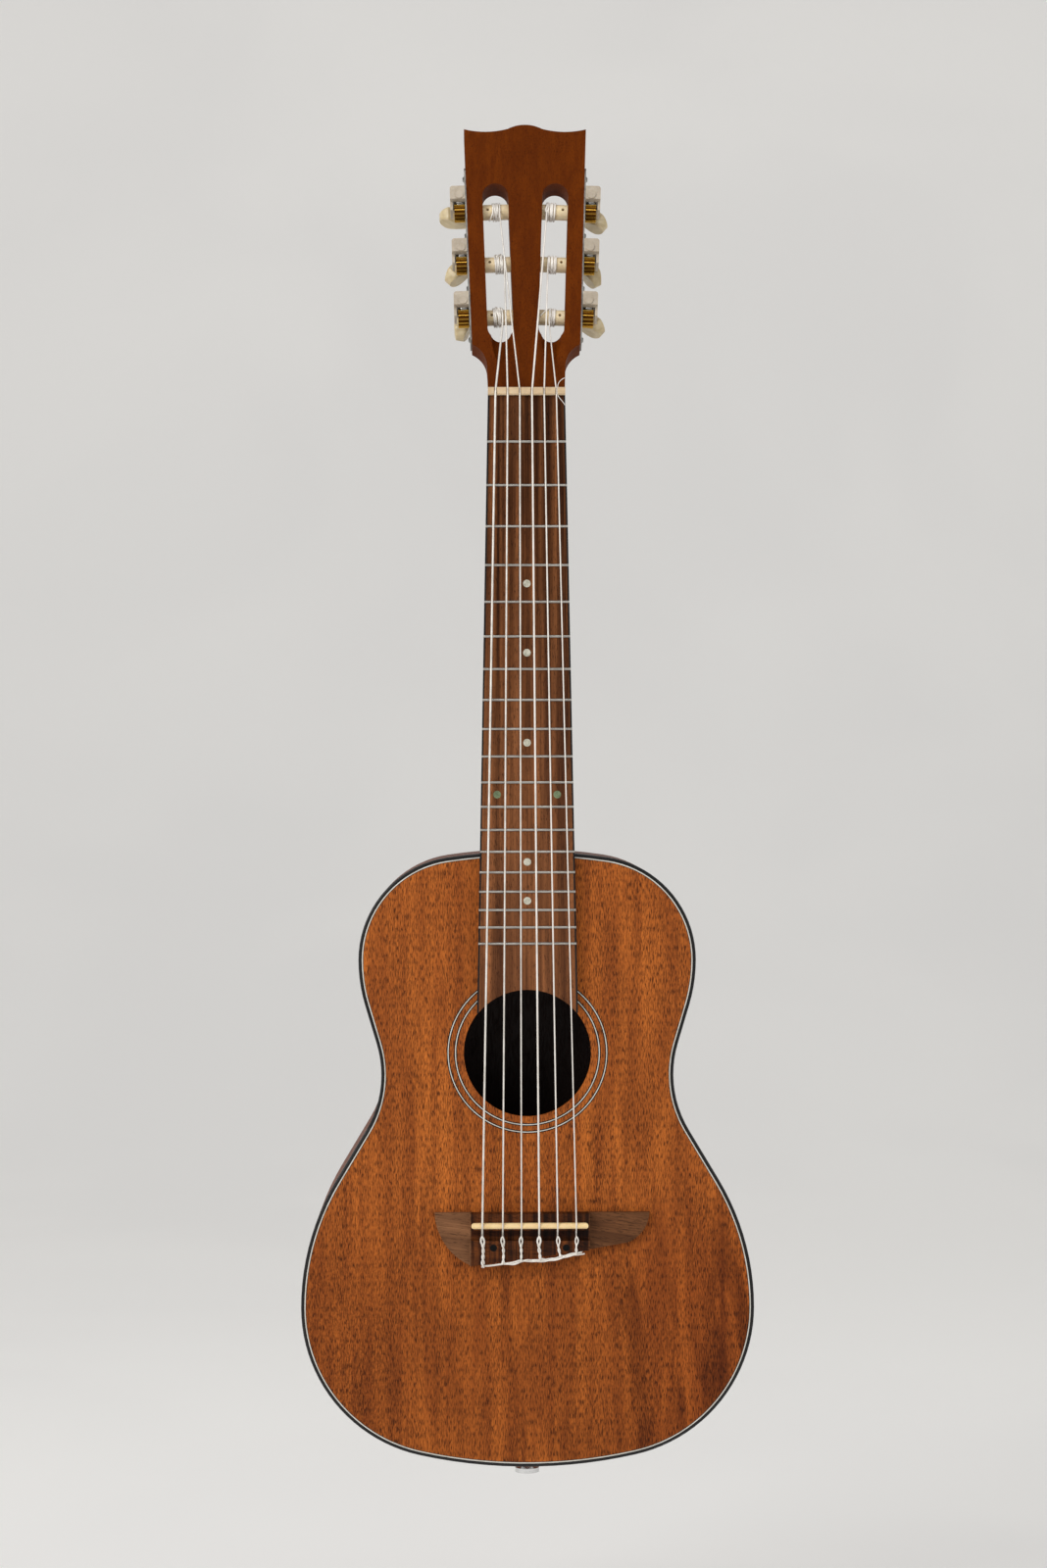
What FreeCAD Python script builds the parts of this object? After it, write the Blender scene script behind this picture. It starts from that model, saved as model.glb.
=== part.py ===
# A guitalele: a six-string guitar of ukulele size with a slotted head, hanging as on a wall.
# Millimetres. +Z runs up the neck to the head, the strings face -Y and the bass side is at -X.
# The origin is where a wall hanger carries the shoulders of the head, in the plane of the
# soundboard's face. The scale starts at the nut's lower edge, hanger_height below the origin.
import FreeCAD, Part
import math
import os
from types import SimpleNamespace

from FreeCAD import Placement, Rotation, Vector
import Sketcher

SIZES = {
    # One overrun for every cut, and half the side of a block that is larger than the guitar
    "overrun": 2.0,
    "beyond": 400.0,
    # Scale and strings
    "hanger_height": 17.0,
    "scale_length": 433.0,
    "saddle_setback": 3.5,
    "nut_string_gap": 6.4,
    "saddle_string_gap": 9.8,
    "nut_string_shift": 0.35,
    "string_1_size": 0.7,
    "string_2_size": 0.8,
    "string_3_size": 1.0,
    "string_4_size": 0.8,
    "string_5_size": 0.9,
    "string_6_size": 1.1,
    "string_rest": 0.02,
    "string_room": 0.2,
    "string_slot_room": 0.5,
    "winding_gap": 0.5,
    "winding_lift": 0.3,
    "winding_tail": 2.0,
    "winding_lead": 4.0,
    "tie_bend": 1.3,
    "mouth_bend": 3.0,
    "mouth_reach": 1.2,
    "tie_hook": 1.6,
    "tie_end_inset": 0.8,
    # Nut, fingerboard, frets and dots
    "nut_width": 40.6,
    "nut_thick": 4.2,
    "nut_height": 7.4,
    "nut_chamfer": 0.7,
    "nut_slot_round": 4.0,
    "nut_clearance": 0.4,
    "board_thick": 5.0,
    "board_end_width": 53.1,
    "board_reach": 21.4,
    "board_edge": 0.9,
    "fret_width": 1.4,
    "tang_width": 0.5,
    "tang_depth": 1.6,
    "dot_radius": 2.0,
    "dot_depth": 1.0,
    "twin_dot_spread": 15.8,
    # Body outline and shells
    "body_length": 324.9,
    "body_depth": 70.0,
    "waist_width": 154.2,
    "lower_swell": 42.5,
    "upper_swell": 12.0,
    "waist_round": 57.0,
    "lower_height": 84.2,
    "waist_drop": 117.9,
    "upper_drop": 57.2,
    "top_thick": 2.3,
    "back_thick": 2.3,
    "side_thick": 1.8,
    "binding_width": 1.8,
    "binding_height": 4.0,
    "binding_round": 0.9,
    "purfling_width": 0.7,
    "purfling_depth": 1.5,
    # Sound hole and rosette
    "hole_drop": 106.3,
    "hole_radius": 33.6,
    "rosette_outer": 42.6,
    "rosette_inner": 38.7,
    "rosette_line": 0.5,
    "rosette_depth": 1.0,
    # Frame inside the body
    "lining_thick": 5.0,
    "lining_height": 12.0,
    "neck_block_width": 66.0,
    "neck_block_length": 22.0,
    "tail_block_width": 60.0,
    "tail_block_length": 14.0,
    "brace_width": 7.0,
    "brace_height": 11.0,
    "brace_gap": 16.0,
    "fan_width": 5.0,
    "fan_height": 4.5,
    "fan_gap": 30.0,
    "fan_tail_gap": 34.0,
    "back_brace_width": 9.0,
    "back_brace_height": 10.0,
    "bridge_plate_width": 140.0,
    "bridge_plate_length": 30.0,
    "bridge_plate_thick": 2.2,
    # Neck and heel
    "neck_depth": 14.0,
    "neck_heel_depth": 16.5,
    "neck_round": 8.0,
    "neck_side": 1.5,
    "heel_depth": 58.0,
    "heel_length": 46.0,
    "heel_round": 21.0,
    "heel_side": 4.0,
    # Headstock, in its own frame that starts at the nut's upper edge
    "head_thick": 15.0,
    "throat_width": 41.4,
    "throat_length": 12.7,
    "throat_round": 1.5,
    "shoulder_height": 25.3,
    "head_width": 57.4,
    "head_top_width": 66.0,
    "head_length": 150.4,
    "crest_rise": 2.7,
    "crest_dip": 1.5,
    "scarf_seam": 15.0,
    "slot_start": 2.4,
    "slot_length": 90.2,
    "slot_width": 13.8,
    "slot_wall": 8.6,
    "ramp_radius": 5.2,
    "ramp_reach": 14.5,
    # Tuning machines, in a frame on the side of the head
    "first_roller": 17.8,
    "roller_pitch": 30.65,
    "roller_radius": 4.15,
    "roller_seat": 5.0,
    "roller_chamfer": 0.4,
    "running_gap": 0.05,
    "string_hole_radius": 0.8,
    "string_hole_inset": 2.6,
    "stub_radius": 2.3,
    "plate_thick": 0.8,
    "plate_width": 13.0,
    "plate_start": 1.2,
    "plate_length": 102.2,
    "plate_chamfer": 2.0,
    "gear_gap": 0.3,
    "gear_width": 5.6,
    "gear_radius": 4.9,
    "gear_root": 3.95,
    "gear_tooth": 0.62,
    "worm_distance": 6.9,
    "worm_offset": 3.9,
    "worm_radius": 2.75,
    "worm_core": 1.75,
    "worm_thread": 0.6,
    "worm_length": 9.0,
    "shaft_radius": 1.3,
    "shaft_end_gap": 0.15,
    "housing_height": 7.5,
    "housing_drop": 2.3,
    "housing_skirt": 7.3,
    "housing_width": 8.0,
    "housing_front": 4.4,
    "housing_rear": 4.0,
    "housing_bar": 1.4,
    "housing_round": 1.6,
    "boss_radius": 2.2,
    "boss_height": 0.6,
    "knob_gap": 3.2,
    "knob_length": 14.5,
    "knob_span": 21.8,
    "knob_thick": 9.2,
    "knob_round": 3.0,
    "knob_neck_radius": 2.9,
    "screw_head_radius": 1.8,
    "screw_head_top": 1.0,
    "screw_head_height": 0.9,
    "screw_radius": 0.9,
    "screw_length": 6.0,
    "screw_margin": 4.4,
    "screw_lift": 2.0,
    # Bridge and saddle, in a frame on the saddle's centre
    "bridge_offset": 1.0,
    "bridge_left": 50.1,
    "bridge_right": 63.1,
    "block_half": 31.5,
    "bridge_front": 6.2,
    "bridge_tail_left": 21.4,
    "bridge_tail_right": 13.2,
    "bridge_height": 8.0,
    "wing_height": 3.2,
    "tie_front": 8.1,
    "tie_height": 7.2,
    "tie_hole_height": 4.4,
    "channel_front": 2.6,
    "channel_floor": 3.4,
    "saddle_thick": 3.1,
    "saddle_length": 61.4,
    "saddle_seat": 3.6,
    "saddle_top": 10.6,
    "plug_radius": 1.85,
    "plug_depth": 3.0,
    "plug_spread": 19.1,
    "plug_drop": 11.8,
    # Strap button
    "button_base_radius": 5.5,
    "button_neck_radius": 3.2,
    "button_rim_radius": 6.5,
    "button_base_height": 1.6,
    "button_neck_height": 6.0,
    "button_rim_height": 2.4,
    "button_bore_room": 0.2,
    "button_screw_radius": 1.9,
    "button_screw_head": 3.0,
    "button_screw_sink": 1.6,
    "button_screw_length": 24.0,
}

# Angles are in degrees
HEAD_TILT = 15.0
SCARF_ANGLE = 35.0
FAN_SPREAD = 9.0
FLANK_ANGLE = 20.0
RAMP_ANGLE = 17.0

FRET_COUNT = 19
NECK_JOINT_FRET = 14
SINGLE_DOT_FRETS = (5, 7, 10, 15, 17)
TWIN_DOT_FRET = 12
STRING_COUNT = 6
ROLLERS_PER_SIDE = 3
GEAR_TEETH = 14
GEAR_TIP_SHARE = 0.55
THREAD_END_PITCHES = 2
FITTING_ROUNDS = 8
LEAD_SHARE = 0.45
BACK_BRACE_SHARES = (0.14, 0.48, 0.75)

# Shares that shape the outline: how much of the room between two bouts their arcs take
LOWER_FLANK_SHARE = 0.944
UPPER_FLANK_SHARE = 0.883
LOWER_ROUND_SHARE = 0.948
UPPER_ROUND_SHARE = 0.955
ROUND_LIMIT_SHARE = 0.8

# The deepest back that a cross-section of the neck curves over, as a share of half its width
SECTION_SHARE = 0.9

# Where the arcs of the bridge's wings pass, as shares of the wing's run and drop
LEFT_WING_SHARES = (0.22, 0.52)
RIGHT_WING_SHARES = (0.24, 0.55)
RIGHT_KNEE_SHARES = (0.365, 0.82)

# Where the crest dips and turns, as shares of half the head's top width
CREST_DIP_SHARE = 0.64
CREST_TURN_SHARE = 0.28
CREST_TURN_RISE_SHARE = 0.42

# The knob's outline: where its front and back arcs end as shares of its half span and its length,
# how far its front is drawn in, how deep its collar reaches and how far its rims are rounded
KNOB_FRONT_SHARES = (0.55, 0.06)
KNOB_BACK_SHARES = (0.62, 0.94)
KNOB_DIP_SHARE = 0.12
KNOB_SEAT_SHARE = 0.4
KNOB_ROUND_SHARE = 0.42
KNOB_TIP_SHARE = 0.42

# How far each string crosses the saddle off its even place, as shares of the strings' gap there
STRING_STRAY_SHARES = (-0.01, -0.01, 0.0, 0.05, 0.05, -0.045)

# Sections of the throat and the heel, as shares of their length
THROAT_SHARES = (0.33, 0.66, 1.0)
HEEL_SHARES = (0.0, 0.2, 0.4, 0.6, 0.8, 1.0)
HEEL_SWEEP = 2.4

# For each string: the side of the head, the roller counted from the nut, where its winding starts
# as a share of the slot's width from the inner wall, its turns, and how far its knob is turned
MACHINES = {
    1: (1, 0, 0.40, 3.5, -52.0),
    2: (1, 1, 0.29, 4.5, -30.0),
    3: (1, 2, 0.18, 3.5, -52.0),
    4: (-1, 2, 0.35, 3.5, 90.0),
    5: (-1, 1, 0.25, 4.5, 46.0),
    6: (-1, 0, 0.40, 3.5, 12.0),
}

doc = FreeCAD.newDocument("guitalele")
sheet = doc.addObject("Spreadsheet::Sheet", "Sizes")
for row, (alias, number) in enumerate(SIZES.items(), 1):
    sheet.set("A%d" % row, alias)
    sheet.set("B%d" % row, str(number))
    sheet.setAlias("B%d" % row, alias)
doc.recompute()


def text_of(number):
    """The formula that a number stands for."""
    return getattr(number, "text", repr(float(number)))


class Rule(float):
    """A size that keeps the sheet formula it was worked out by, so that objects can be bound to it."""

    def __new__(cls, value, text):
        rule = super().__new__(cls, value)
        rule.text = text
        return rule

    def __add__(self, other):
        return Rule(float(self) + float(other), "(%s + %s)" % (self.text, text_of(other)))

    def __radd__(self, other):
        return Rule(float(other) + float(self), "(%s + %s)" % (text_of(other), self.text))

    def __sub__(self, other):
        return Rule(float(self) - float(other), "(%s - %s)" % (self.text, text_of(other)))

    def __rsub__(self, other):
        return Rule(float(other) - float(self), "(%s - %s)" % (text_of(other), self.text))

    def __mul__(self, other):
        return Rule(float(self) * float(other), "%s * %s" % (self.text, text_of(other)))

    def __rmul__(self, other):
        return Rule(float(other) * float(self), "%s * %s" % (text_of(other), self.text))

    def __truediv__(self, other):
        return Rule(float(self) / float(other), "%s / %s" % (self.text, text_of(other)))

    def __neg__(self):
        return Rule(-float(self), "(0 - %s)" % self.text)


at = SimpleNamespace(**{alias: Rule(float(sheet.get(alias)), "Sizes." + alias) for alias in SIZES})

# Heights of the main lines of the guitar, measured from the hanger rest
scale_zero = -at.hanger_height
pivot = scale_zero + at.nut_thick
body_top = scale_zero - at.scale_length * (1 - 2 ** (-NECK_JOINT_FRET / 12))
body_bottom = body_top - at.body_length
hole_centre = body_top - at.hole_drop
saddle_line = scale_zero - at.scale_length - at.saddle_setback
board_end = hole_centre + at.board_reach
board_length = scale_zero - board_end

ALONG_X = Rotation(Vector(0, 1, 0), 90)
ALONG_Y = Rotation(Vector(1, 0, 0), -90)
ALONG_Z = Rotation()

# The head leans back about the nut's upper edge, and each side of it widens towards the top
HEAD = Placement(Vector(0, 0, pivot), Rotation(Vector(1, 0, 0), -HEAD_TILT))
head_flare = (at.head_top_width - at.head_width) / 2
head_taper = math.degrees(math.atan2(head_flare, at.head_length - at.shoulder_height))
SIDE_FRAMES = {
    side: HEAD * Placement(Vector(side * at.head_width / 2, 0, at.shoulder_height),
                           Rotation(Vector(0, 1, 0), side * head_taper))
    for side in (1, -1)
}

NODES = {}


def machine_frame(side, roller):
    """The frame of one machine: its origin is on the roller's axis, at the face of the head's side."""
    height = at.first_roller + roller * at.roller_pitch
    return SIDE_FRAMES[side] * Placement(Vector(0, at.head_thick / 2, height), Rotation())


def bind(piece, **rules):
    """Ties each named property of a piece to its size."""
    for name, rule in rules.items():
        piece.setExpression(name, text_of(rule))
    return piece


def place(piece, x, y, z, turn=ALONG_Z):
    """Turns a piece, then sets it at a place that follows the sheet."""
    piece.Placement = Placement(Vector(), turn)
    for axis, rule in (("x", x), ("y", y), ("z", z)):
        piece.setExpression("Placement.Base." + axis, text_of(rule))
    return piece


def box(name, width, depth, height, x, y, z):
    """A block whose lowest corner is at x, y, z."""
    piece = doc.addObject("Part::Box", name)
    bind(piece, Length=width, Width=depth, Height=height)
    return place(piece, x, y, z)


def middle_box(name, width, depth, height, x, y, z):
    """A block with its width centred on x, its front at y and its height centred on z."""
    return box(name, width, depth, height, x - width / 2, y, z - height / 2)


def rod(name, radius, length, x, y, z, turn):
    """A cylinder that starts at x, y, z and runs along the turned axis."""
    piece = doc.addObject("Part::Cylinder", name)
    bind(piece, Radius=radius, Height=length)
    return place(piece, x, y, z, turn)


def cut(name, base, *tools):
    """The base with the tools taken away."""
    piece = doc.addObject("Part::Cut", name)
    piece.Base = base
    piece.Tool = tools[0] if len(tools) == 1 else fuse(name + "_tools", *tools)
    return piece


def fuse(name, *pieces):
    """Several pieces as one."""
    piece = doc.addObject("Part::MultiFuse", name)
    piece.Shapes = list(pieces)
    return piece


def common(name, first, second):
    """What two pieces share."""
    piece = doc.addObject("Part::Common", name)
    piece.Base = first
    piece.Tool = second
    return piece


def group(name, pieces):
    """Separate solids that share a node."""
    piece = doc.addObject("Part::Compound", name)
    piece.Links = list(pieces)
    return piece


def shape_piece(name, shape):
    """A piece whose shape is worked out here from the sheet's sizes."""
    piece = doc.addObject("Part::Feature", name)
    piece.Shape = shape
    return piece


def extrude(name, line, depth, direction):
    """A solid drawn out from a closed line."""
    piece = doc.addObject("Part::Extrusion", name)
    piece.Base = line
    piece.DirMode = "Custom"
    piece.Dir = direction
    piece.Solid = True
    return bind(piece, LengthFwd=depth)


def keep(node, piece, frame=None):
    """Names a finished piece as a node, and sets it in its frame."""
    piece.Label = node
    if frame is not None:
        piece.Placement = frame * piece.Placement
    NODES[node] = piece
    return piece


def sketch_of(body, role, name, corners):
    """A closed outline of straight lines in one of the body's origin planes, held by its sizes."""
    sketch = body.newObject("Sketcher::SketchObject", name)
    plane = [feature for feature in body.Origin.OriginFeatures if feature.Role == role][0]
    sketch.AttachmentSupport = [(plane, "")]
    sketch.MapMode = "FlatFace"
    points = [Vector(across, up, 0) for across, up in corners]
    for start, end in zip(points, points[1:] + points[:1]):
        sketch.addGeometry(Part.LineSegment(start, end), False)
    for line in range(len(points)):
        after = (line + 1) % len(points)
        sketch.addConstraint(Sketcher.Constraint("Coincident", line, 2, after, 1))
    for line, (across, up) in enumerate(corners):
        for kind, rule in (("DistanceX", across), ("DistanceY", up)):
            index = sketch.addConstraint(Sketcher.Constraint(kind, -1, 1, line, 1, float(rule)))
            sketch.setExpression("Constraints[%d]" % index, text_of(rule))
    return sketch


def padded(name, role, corners, length, middle=False):
    """A body padded from an outline, away from its plane or to both sides of it."""
    body = doc.addObject("PartDesign::Body", name)
    sketch = sketch_of(body, role, name + "_sketch", corners)
    pad = body.newObject("PartDesign::Pad", name + "_pad")
    pad.Profile = sketch
    pad.Midplane = middle
    bind(pad, Length=length)
    return body


def turned(name, role, corners, axis):
    """A body turned round one axis of its sketch from half its profile."""
    body = doc.addObject("PartDesign::Body", name)
    sketch = sketch_of(body, role, name + "_sketch", corners)
    turn = body.newObject("PartDesign::Revolution", name + "_turn")
    turn.Profile = sketch
    turn.ReferenceAxis = (sketch, [axis])
    turn.Angle = 360.0
    return body


def arc_about(centre, radius, start, end):
    """An arc in the XZ plane about a centre, between two angles in radians."""
    angles = (start, (start + end) / 2, end)
    points = [centre + Vector(radius * math.cos(a), 0, radius * math.sin(a)) for a in angles]
    return Part.Arc(*points).toShape()


def line_between(start, end):
    return Part.makeLine(start, end)


def flank_radius(swell, drop, share):
    """The radius that leaves the waist's arc its straight run on to a bout."""
    reach = (swell ** 2 + drop ** 2) / (2 * swell)
    return share * reach - at.waist_round


def end_radius(corner, end, radius):
    """The radius of an arc centred on the middle line that is tangent to a bout's corner arc."""
    rise = abs(end - corner.z)
    return (corner.x ** 2 + rise ** 2 - radius ** 2) / (2 * (rise - radius))


def body_outline(inset, y):
    """The closed outline of the body in the plane at y, drawn in by an inset."""
    inset = float(inset)
    half_waist = float(at.waist_width) / 2
    half_low = half_waist + float(at.lower_swell)
    half_up = half_waist + float(at.upper_swell)
    low = float(body_bottom + at.lower_height)
    waist = float(body_top - at.waist_drop)
    up = float(body_top - at.upper_drop)
    low_flank = flank_radius(float(at.lower_swell), waist - low, LOWER_FLANK_SHARE)
    up_flank = flank_radius(float(at.upper_swell), up - waist, UPPER_FLANK_SHARE)
    low_round = LOWER_ROUND_SHARE * min(float(at.lower_height), half_low)
    up_round = UPPER_ROUND_SHARE * min(float(at.upper_drop), half_up)
    low_centre = Vector(half_low - low_round, y, low)
    low_flank_centre = Vector(half_low - low_flank, y, low)
    waist_centre = Vector(half_waist + float(at.waist_round), y, waist)
    up_flank_centre = Vector(half_up - up_flank, y, up)
    up_centre = Vector(half_up - up_round, y, up)
    tail = end_radius(low_centre, float(body_bottom), low_round)
    top = end_radius(up_centre, float(body_top), up_round)
    tail_centre = Vector(0, y, float(body_bottom) + tail)
    top_centre = Vector(0, y, float(body_top) - top)

    def bearing(start, end):
        return math.atan2(end.z - start.z, end.x - start.x)

    def lean(flank_centre, flank):
        reach = (waist_centre - flank_centre).Length
        return math.acos((flank + float(at.waist_round)) / reach)

    low_turn = bearing(low_flank_centre, waist_centre) - lean(low_flank_centre, low_flank)
    up_turn = bearing(up_flank_centre, waist_centre) + lean(up_flank_centre, up_flank)
    tail_turn = bearing(tail_centre, low_centre)
    top_turn = bearing(top_centre, up_centre)
    half = [
        arc_about(low_centre, low_round - inset, tail_turn, 0),
        arc_about(low_flank_centre, low_flank - inset, 0, low_turn),
        arc_about(waist_centre, float(at.waist_round) + inset, math.pi + low_turn, math.pi + up_turn),
        arc_about(up_flank_centre, up_flank - inset, up_turn, 0),
        arc_about(up_centre, up_round - inset, 0, top_turn),
    ]
    flank_lines = (
        line_between(half[1].Vertexes[-1].Point, half[2].Vertexes[0].Point),
        line_between(half[2].Vertexes[-1].Point, half[3].Vertexes[0].Point),
    )
    half.extend(flank_lines)
    other_half = [edge.mirror(Vector(), Vector(1, 0, 0)) for edge in half]
    tail_arc = arc_about(tail_centre, tail - inset, -math.pi - tail_turn, tail_turn)
    top_arc = arc_about(top_centre, top - inset, top_turn, math.pi - top_turn)
    return Part.Wire(Part.sortEdges([tail_arc, top_arc] + half + other_half)[0])


def body_prism(name, inset, y, depth):
    """A slice of the body from the plane at y backwards, drawn in by an inset."""
    line = shape_piece(name + "_line", body_outline(inset, float(y)))
    return extrude(name, line, depth, Vector(0, 1, 0))


def body_ring(name, outer, inner, y, depth):
    """A band that follows the body's edge between two insets."""
    whole = body_prism(name + "_whole", outer, y, depth)
    core = body_prism(name + "_core", inner, y - at.overrun, depth + 2 * at.overrun)
    return cut(name, whole, core)


def hole_disc(name, radius, y, depth):
    """A disc about the sound hole's axis."""
    return rod(name, radius, depth, 0, y, hole_centre, ALONG_Y)


def hole_ring(name, outer, inner, depth):
    """A ring let into the face of the soundboard about the sound hole."""
    disc = hole_disc(name + "_disc", outer, 0, depth)
    core = hole_disc(name + "_core", inner, -at.overrun, depth + 2 * at.overrun)
    return cut(name, disc, core)


def build_shells():
    """The soundboard with its rosette and edge lines, the back, the sides and the binding."""
    depth = at.body_depth
    envelope_solid = Part.Face(body_outline(0, 0)).extrude(Vector(0, depth, 0))
    rim = [edge for edge in envelope_solid.Edges if edge.BoundBox.YLength < at.binding_round]
    envelope = shape_piece("envelope", envelope_solid.makeFillet(at.binding_round, rim))
    reach = at.beyond
    tall = at.beyond * 2
    middle = (body_top + body_bottom) / 2
    front_slab = middle_box("front_slab", reach, at.binding_height, tall, 0, 0, middle)
    back_slab = middle_box("back_slab", reach, at.binding_height, tall, 0, depth - at.binding_height, middle)
    edges = common("binding_edges", envelope, fuse("binding_slabs", front_slab, back_slab))
    inner = body_prism("binding_inner", at.binding_width, -at.overrun, depth + 2 * at.overrun)
    binding = keep("binding", cut("binding", edges, inner))

    purfling_inset = at.binding_width + at.purfling_width
    purfling = keep("purfling", body_ring("purfling", at.binding_width, purfling_inset, 0, at.purfling_depth))
    white = []
    black = []
    grooves = []
    for band, radius in (("outer", at.rosette_outer), ("inner", at.rosette_inner)):
        line = at.rosette_line
        deep = at.rosette_depth
        white.append(hole_ring(band + "_white", radius - line, radius - 2 * line, deep))
        black.append(hole_ring(band + "_black_outside", radius, radius - line, deep))
        black.append(hole_ring(band + "_black_inside", radius - 2 * line, radius - 3 * line, deep))
        grooves.append(hole_ring(band + "_groove", radius, radius - 3 * line, deep))
    keep("rosette_white", group("rosette_white", white))
    keep("rosette_black", group("rosette_black", black))
    hole = hole_disc("sound_hole", at.hole_radius, -at.overrun, at.top_thick + 2 * at.overrun)
    plate = body_prism("soundboard_plate", at.binding_width, 0, at.top_thick)
    keep("soundboard", cut("soundboard", plate, purfling, hole, *grooves))
    keep("back_plate", body_prism("back_plate", at.binding_width, depth - at.back_thick, at.back_thick))

    inside_depth = depth - at.top_thick - at.back_thick
    band = body_ring("side_band", 0, at.side_thick, at.top_thick, inside_depth)
    screw_hole = rod("side_screw_hole", at.button_screw_radius + at.button_bore_room,
                     at.beyond / 2, 0, depth / 2, body_bottom - at.beyond / 4, ALONG_Z)
    bare = cut("side_bare", band, binding, screw_hole)
    for name, x in (("side_bass", -reach), ("side_treble", 0)):
        half = box(name + "_half", reach, depth, tall, x, 0, middle - tall / 2)
        keep(name, common(name, bare, half))
    return binding


def build_frame(binding):
    """The blocks, linings and braces inside the body."""
    inside_depth = at.body_depth - at.top_thick - at.back_thick
    back_face = at.body_depth - at.back_thick
    inside = body_prism("inside", at.side_thick, at.top_thick, inside_depth)
    blocks = []
    top_z = body_top + at.overrun
    tail_z = body_bottom - at.overrun
    for name, width, length, z in (
            ("neck_block", at.neck_block_width, at.neck_block_length, top_z - at.neck_block_length),
            ("tail_block", at.tail_block_width, at.tail_block_length, tail_z)):
        lump = box(name + "_lump", width, inside_depth, length, -width / 2, at.top_thick, z)
        blocks.append(common(name + "_fitted", inside, lump))
    keep("neck_block", blocks[0])
    screw_hole = rod("tail_screw_hole", at.button_screw_radius + at.button_bore_room, at.button_screw_length,
                     0, at.body_depth / 2, body_bottom, ALONG_Z)
    keep("tail_block", cut("tail_block", blocks[1], screw_hole))

    lining_inset = at.side_thick + at.lining_thick
    strips = []
    for name, y in (("lining_front", at.top_thick), ("lining_back", back_face - at.lining_height)):
        strip = body_ring(name + "_ring", at.side_thick, lining_inset, y, at.lining_height)
        strips.append(cut(name, strip, blocks[0], blocks[1], binding))
    linings = keep("linings", group("linings", strips))

    plate = middle_box("bridge_plate", at.bridge_plate_width, at.bridge_plate_thick, at.bridge_plate_length,
                       0, at.top_thick, saddle_line - at.tie_front)
    keep("bridge_plate", plate)
    upper = hole_centre + at.hole_radius + at.brace_gap
    lower = hole_centre - at.hole_radius - at.brace_gap
    span = at.beyond
    bars = [middle_box("brace_%d" % n, span, at.brace_height, at.brace_width, 0, at.top_thick, z)
            for n, z in enumerate((upper, lower))]
    fan_top = lower - at.brace_width / 2
    fan_length = fan_top - body_bottom - at.fan_tail_gap
    for n in (-1, 0, 1):
        fan = box("fan_%d" % (n + 1), at.fan_width, at.fan_height, fan_length, 0, 0, 0)
        lean = Rotation(Vector(0, 1, 0), 180 - n * FAN_SPREAD)
        top = Placement(Vector(n * at.fan_gap, at.top_thick, fan_top), lean)
        fan_place = group("fan_set_%d" % (n + 1), [fan])
        fan_place.Placement = top * Placement(Vector(-at.fan_width / 2, 0, 0), Rotation())
        bars.append(fan_place)
    fitted = common("braces_fitted", group("braces", bars), inside)
    keep("soundboard_braces", cut("soundboard_braces", fitted, linings, plate))

    ribs = [middle_box("rib_%d" % n, span, at.back_brace_height, at.back_brace_width, 0,
                       back_face - at.back_brace_height, body_top - share * at.body_length)
            for n, share in enumerate(BACK_BRACE_SHARES)]
    fitted_ribs = common("ribs_fitted", group("ribs", ribs), inside)
    keep("back_braces", cut("back_braces", fitted_ribs, linings))


def fret_distance(fret):
    """How far a fret lies from the nut."""
    return at.scale_length * (1 - 2 ** (-fret / 12))


def board_width(distance):
    """The fingerboard's width at a distance from the nut."""
    return at.nut_width + (at.board_end_width - at.nut_width) * distance / board_length


def board_strip(name, out_0, in_0, out_1, in_1):
    """A strip along the fingerboard from the nut's line to its end, between two lines."""
    corners = [(in_0, scale_zero), (out_0, scale_zero), (out_1, board_end), (in_1, board_end)]
    return padded(name, "XZ_Plane", corners, at.board_thick)


def build_board():
    """The fingerboard with its edge strips, frets and dots."""
    half = at.nut_width / 2
    end_half = at.board_end_width / 2
    edge = at.board_edge
    hole = hole_disc("board_end_hole", at.hole_radius, -at.board_thick - at.overrun,
                     at.board_thick + 2 * at.overrun)
    edges = group("board_edges", [
        board_strip("edge_treble", half, half - edge, end_half, end_half - edge),
        board_strip("edge_bass", edge - half, -half, edge - end_half, -end_half),
    ])
    frets = []
    tangs = []
    for fret in range(1, FRET_COUNT + 1):
        distance = fret_distance(fret)
        width = board_width(distance)
        z = scale_zero - distance
        crown = rod("crown_%d" % fret, at.fret_width / 2, width, -width / 2, -at.board_thick, z, ALONG_X)
        crown.Angle = 180
        crown.Placement.Rotation = Rotation(Vector(1, 0, 0), 180) * ALONG_X
        blade = middle_box("blade_%d" % fret, width, at.tang_depth, at.tang_width, 0, -at.board_thick, z)
        tang = cut("tang_%d" % fret, blade, edges)
        frets.append(fuse("fret_%d" % fret, crown, tang))
        tangs.append(tang)
    keep("frets", group("frets", frets))
    dots = []
    for fret in SINGLE_DOT_FRETS + (TWIN_DOT_FRET,):
        z = scale_zero - (fret_distance(fret) + fret_distance(fret - 1)) / 2
        for x in ((at.twin_dot_spread, -at.twin_dot_spread) if fret == TWIN_DOT_FRET else (0,)):
            name = "dot_%d_%d" % (fret, len(dots))
            dots.append(rod(name, at.dot_radius, at.dot_depth, x, -at.board_thick, z, ALONG_Y))
    keep("position_markers", group("position_markers", dots))
    wood = board_strip("board_wood", half - edge, edge - half, end_half - edge, edge - end_half)
    keep("fingerboard", cut("fingerboard", wood, hole, *tangs, *dots))
    keep("fingerboard_binding", cut("fingerboard_binding", edges, hole))


def nut_crown():
    """Centre line height of the curve that the strings bend over at the nut."""
    return at.nut_slot_round - at.board_thick - at.fret_width / 2 - at.nut_clearance


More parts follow.
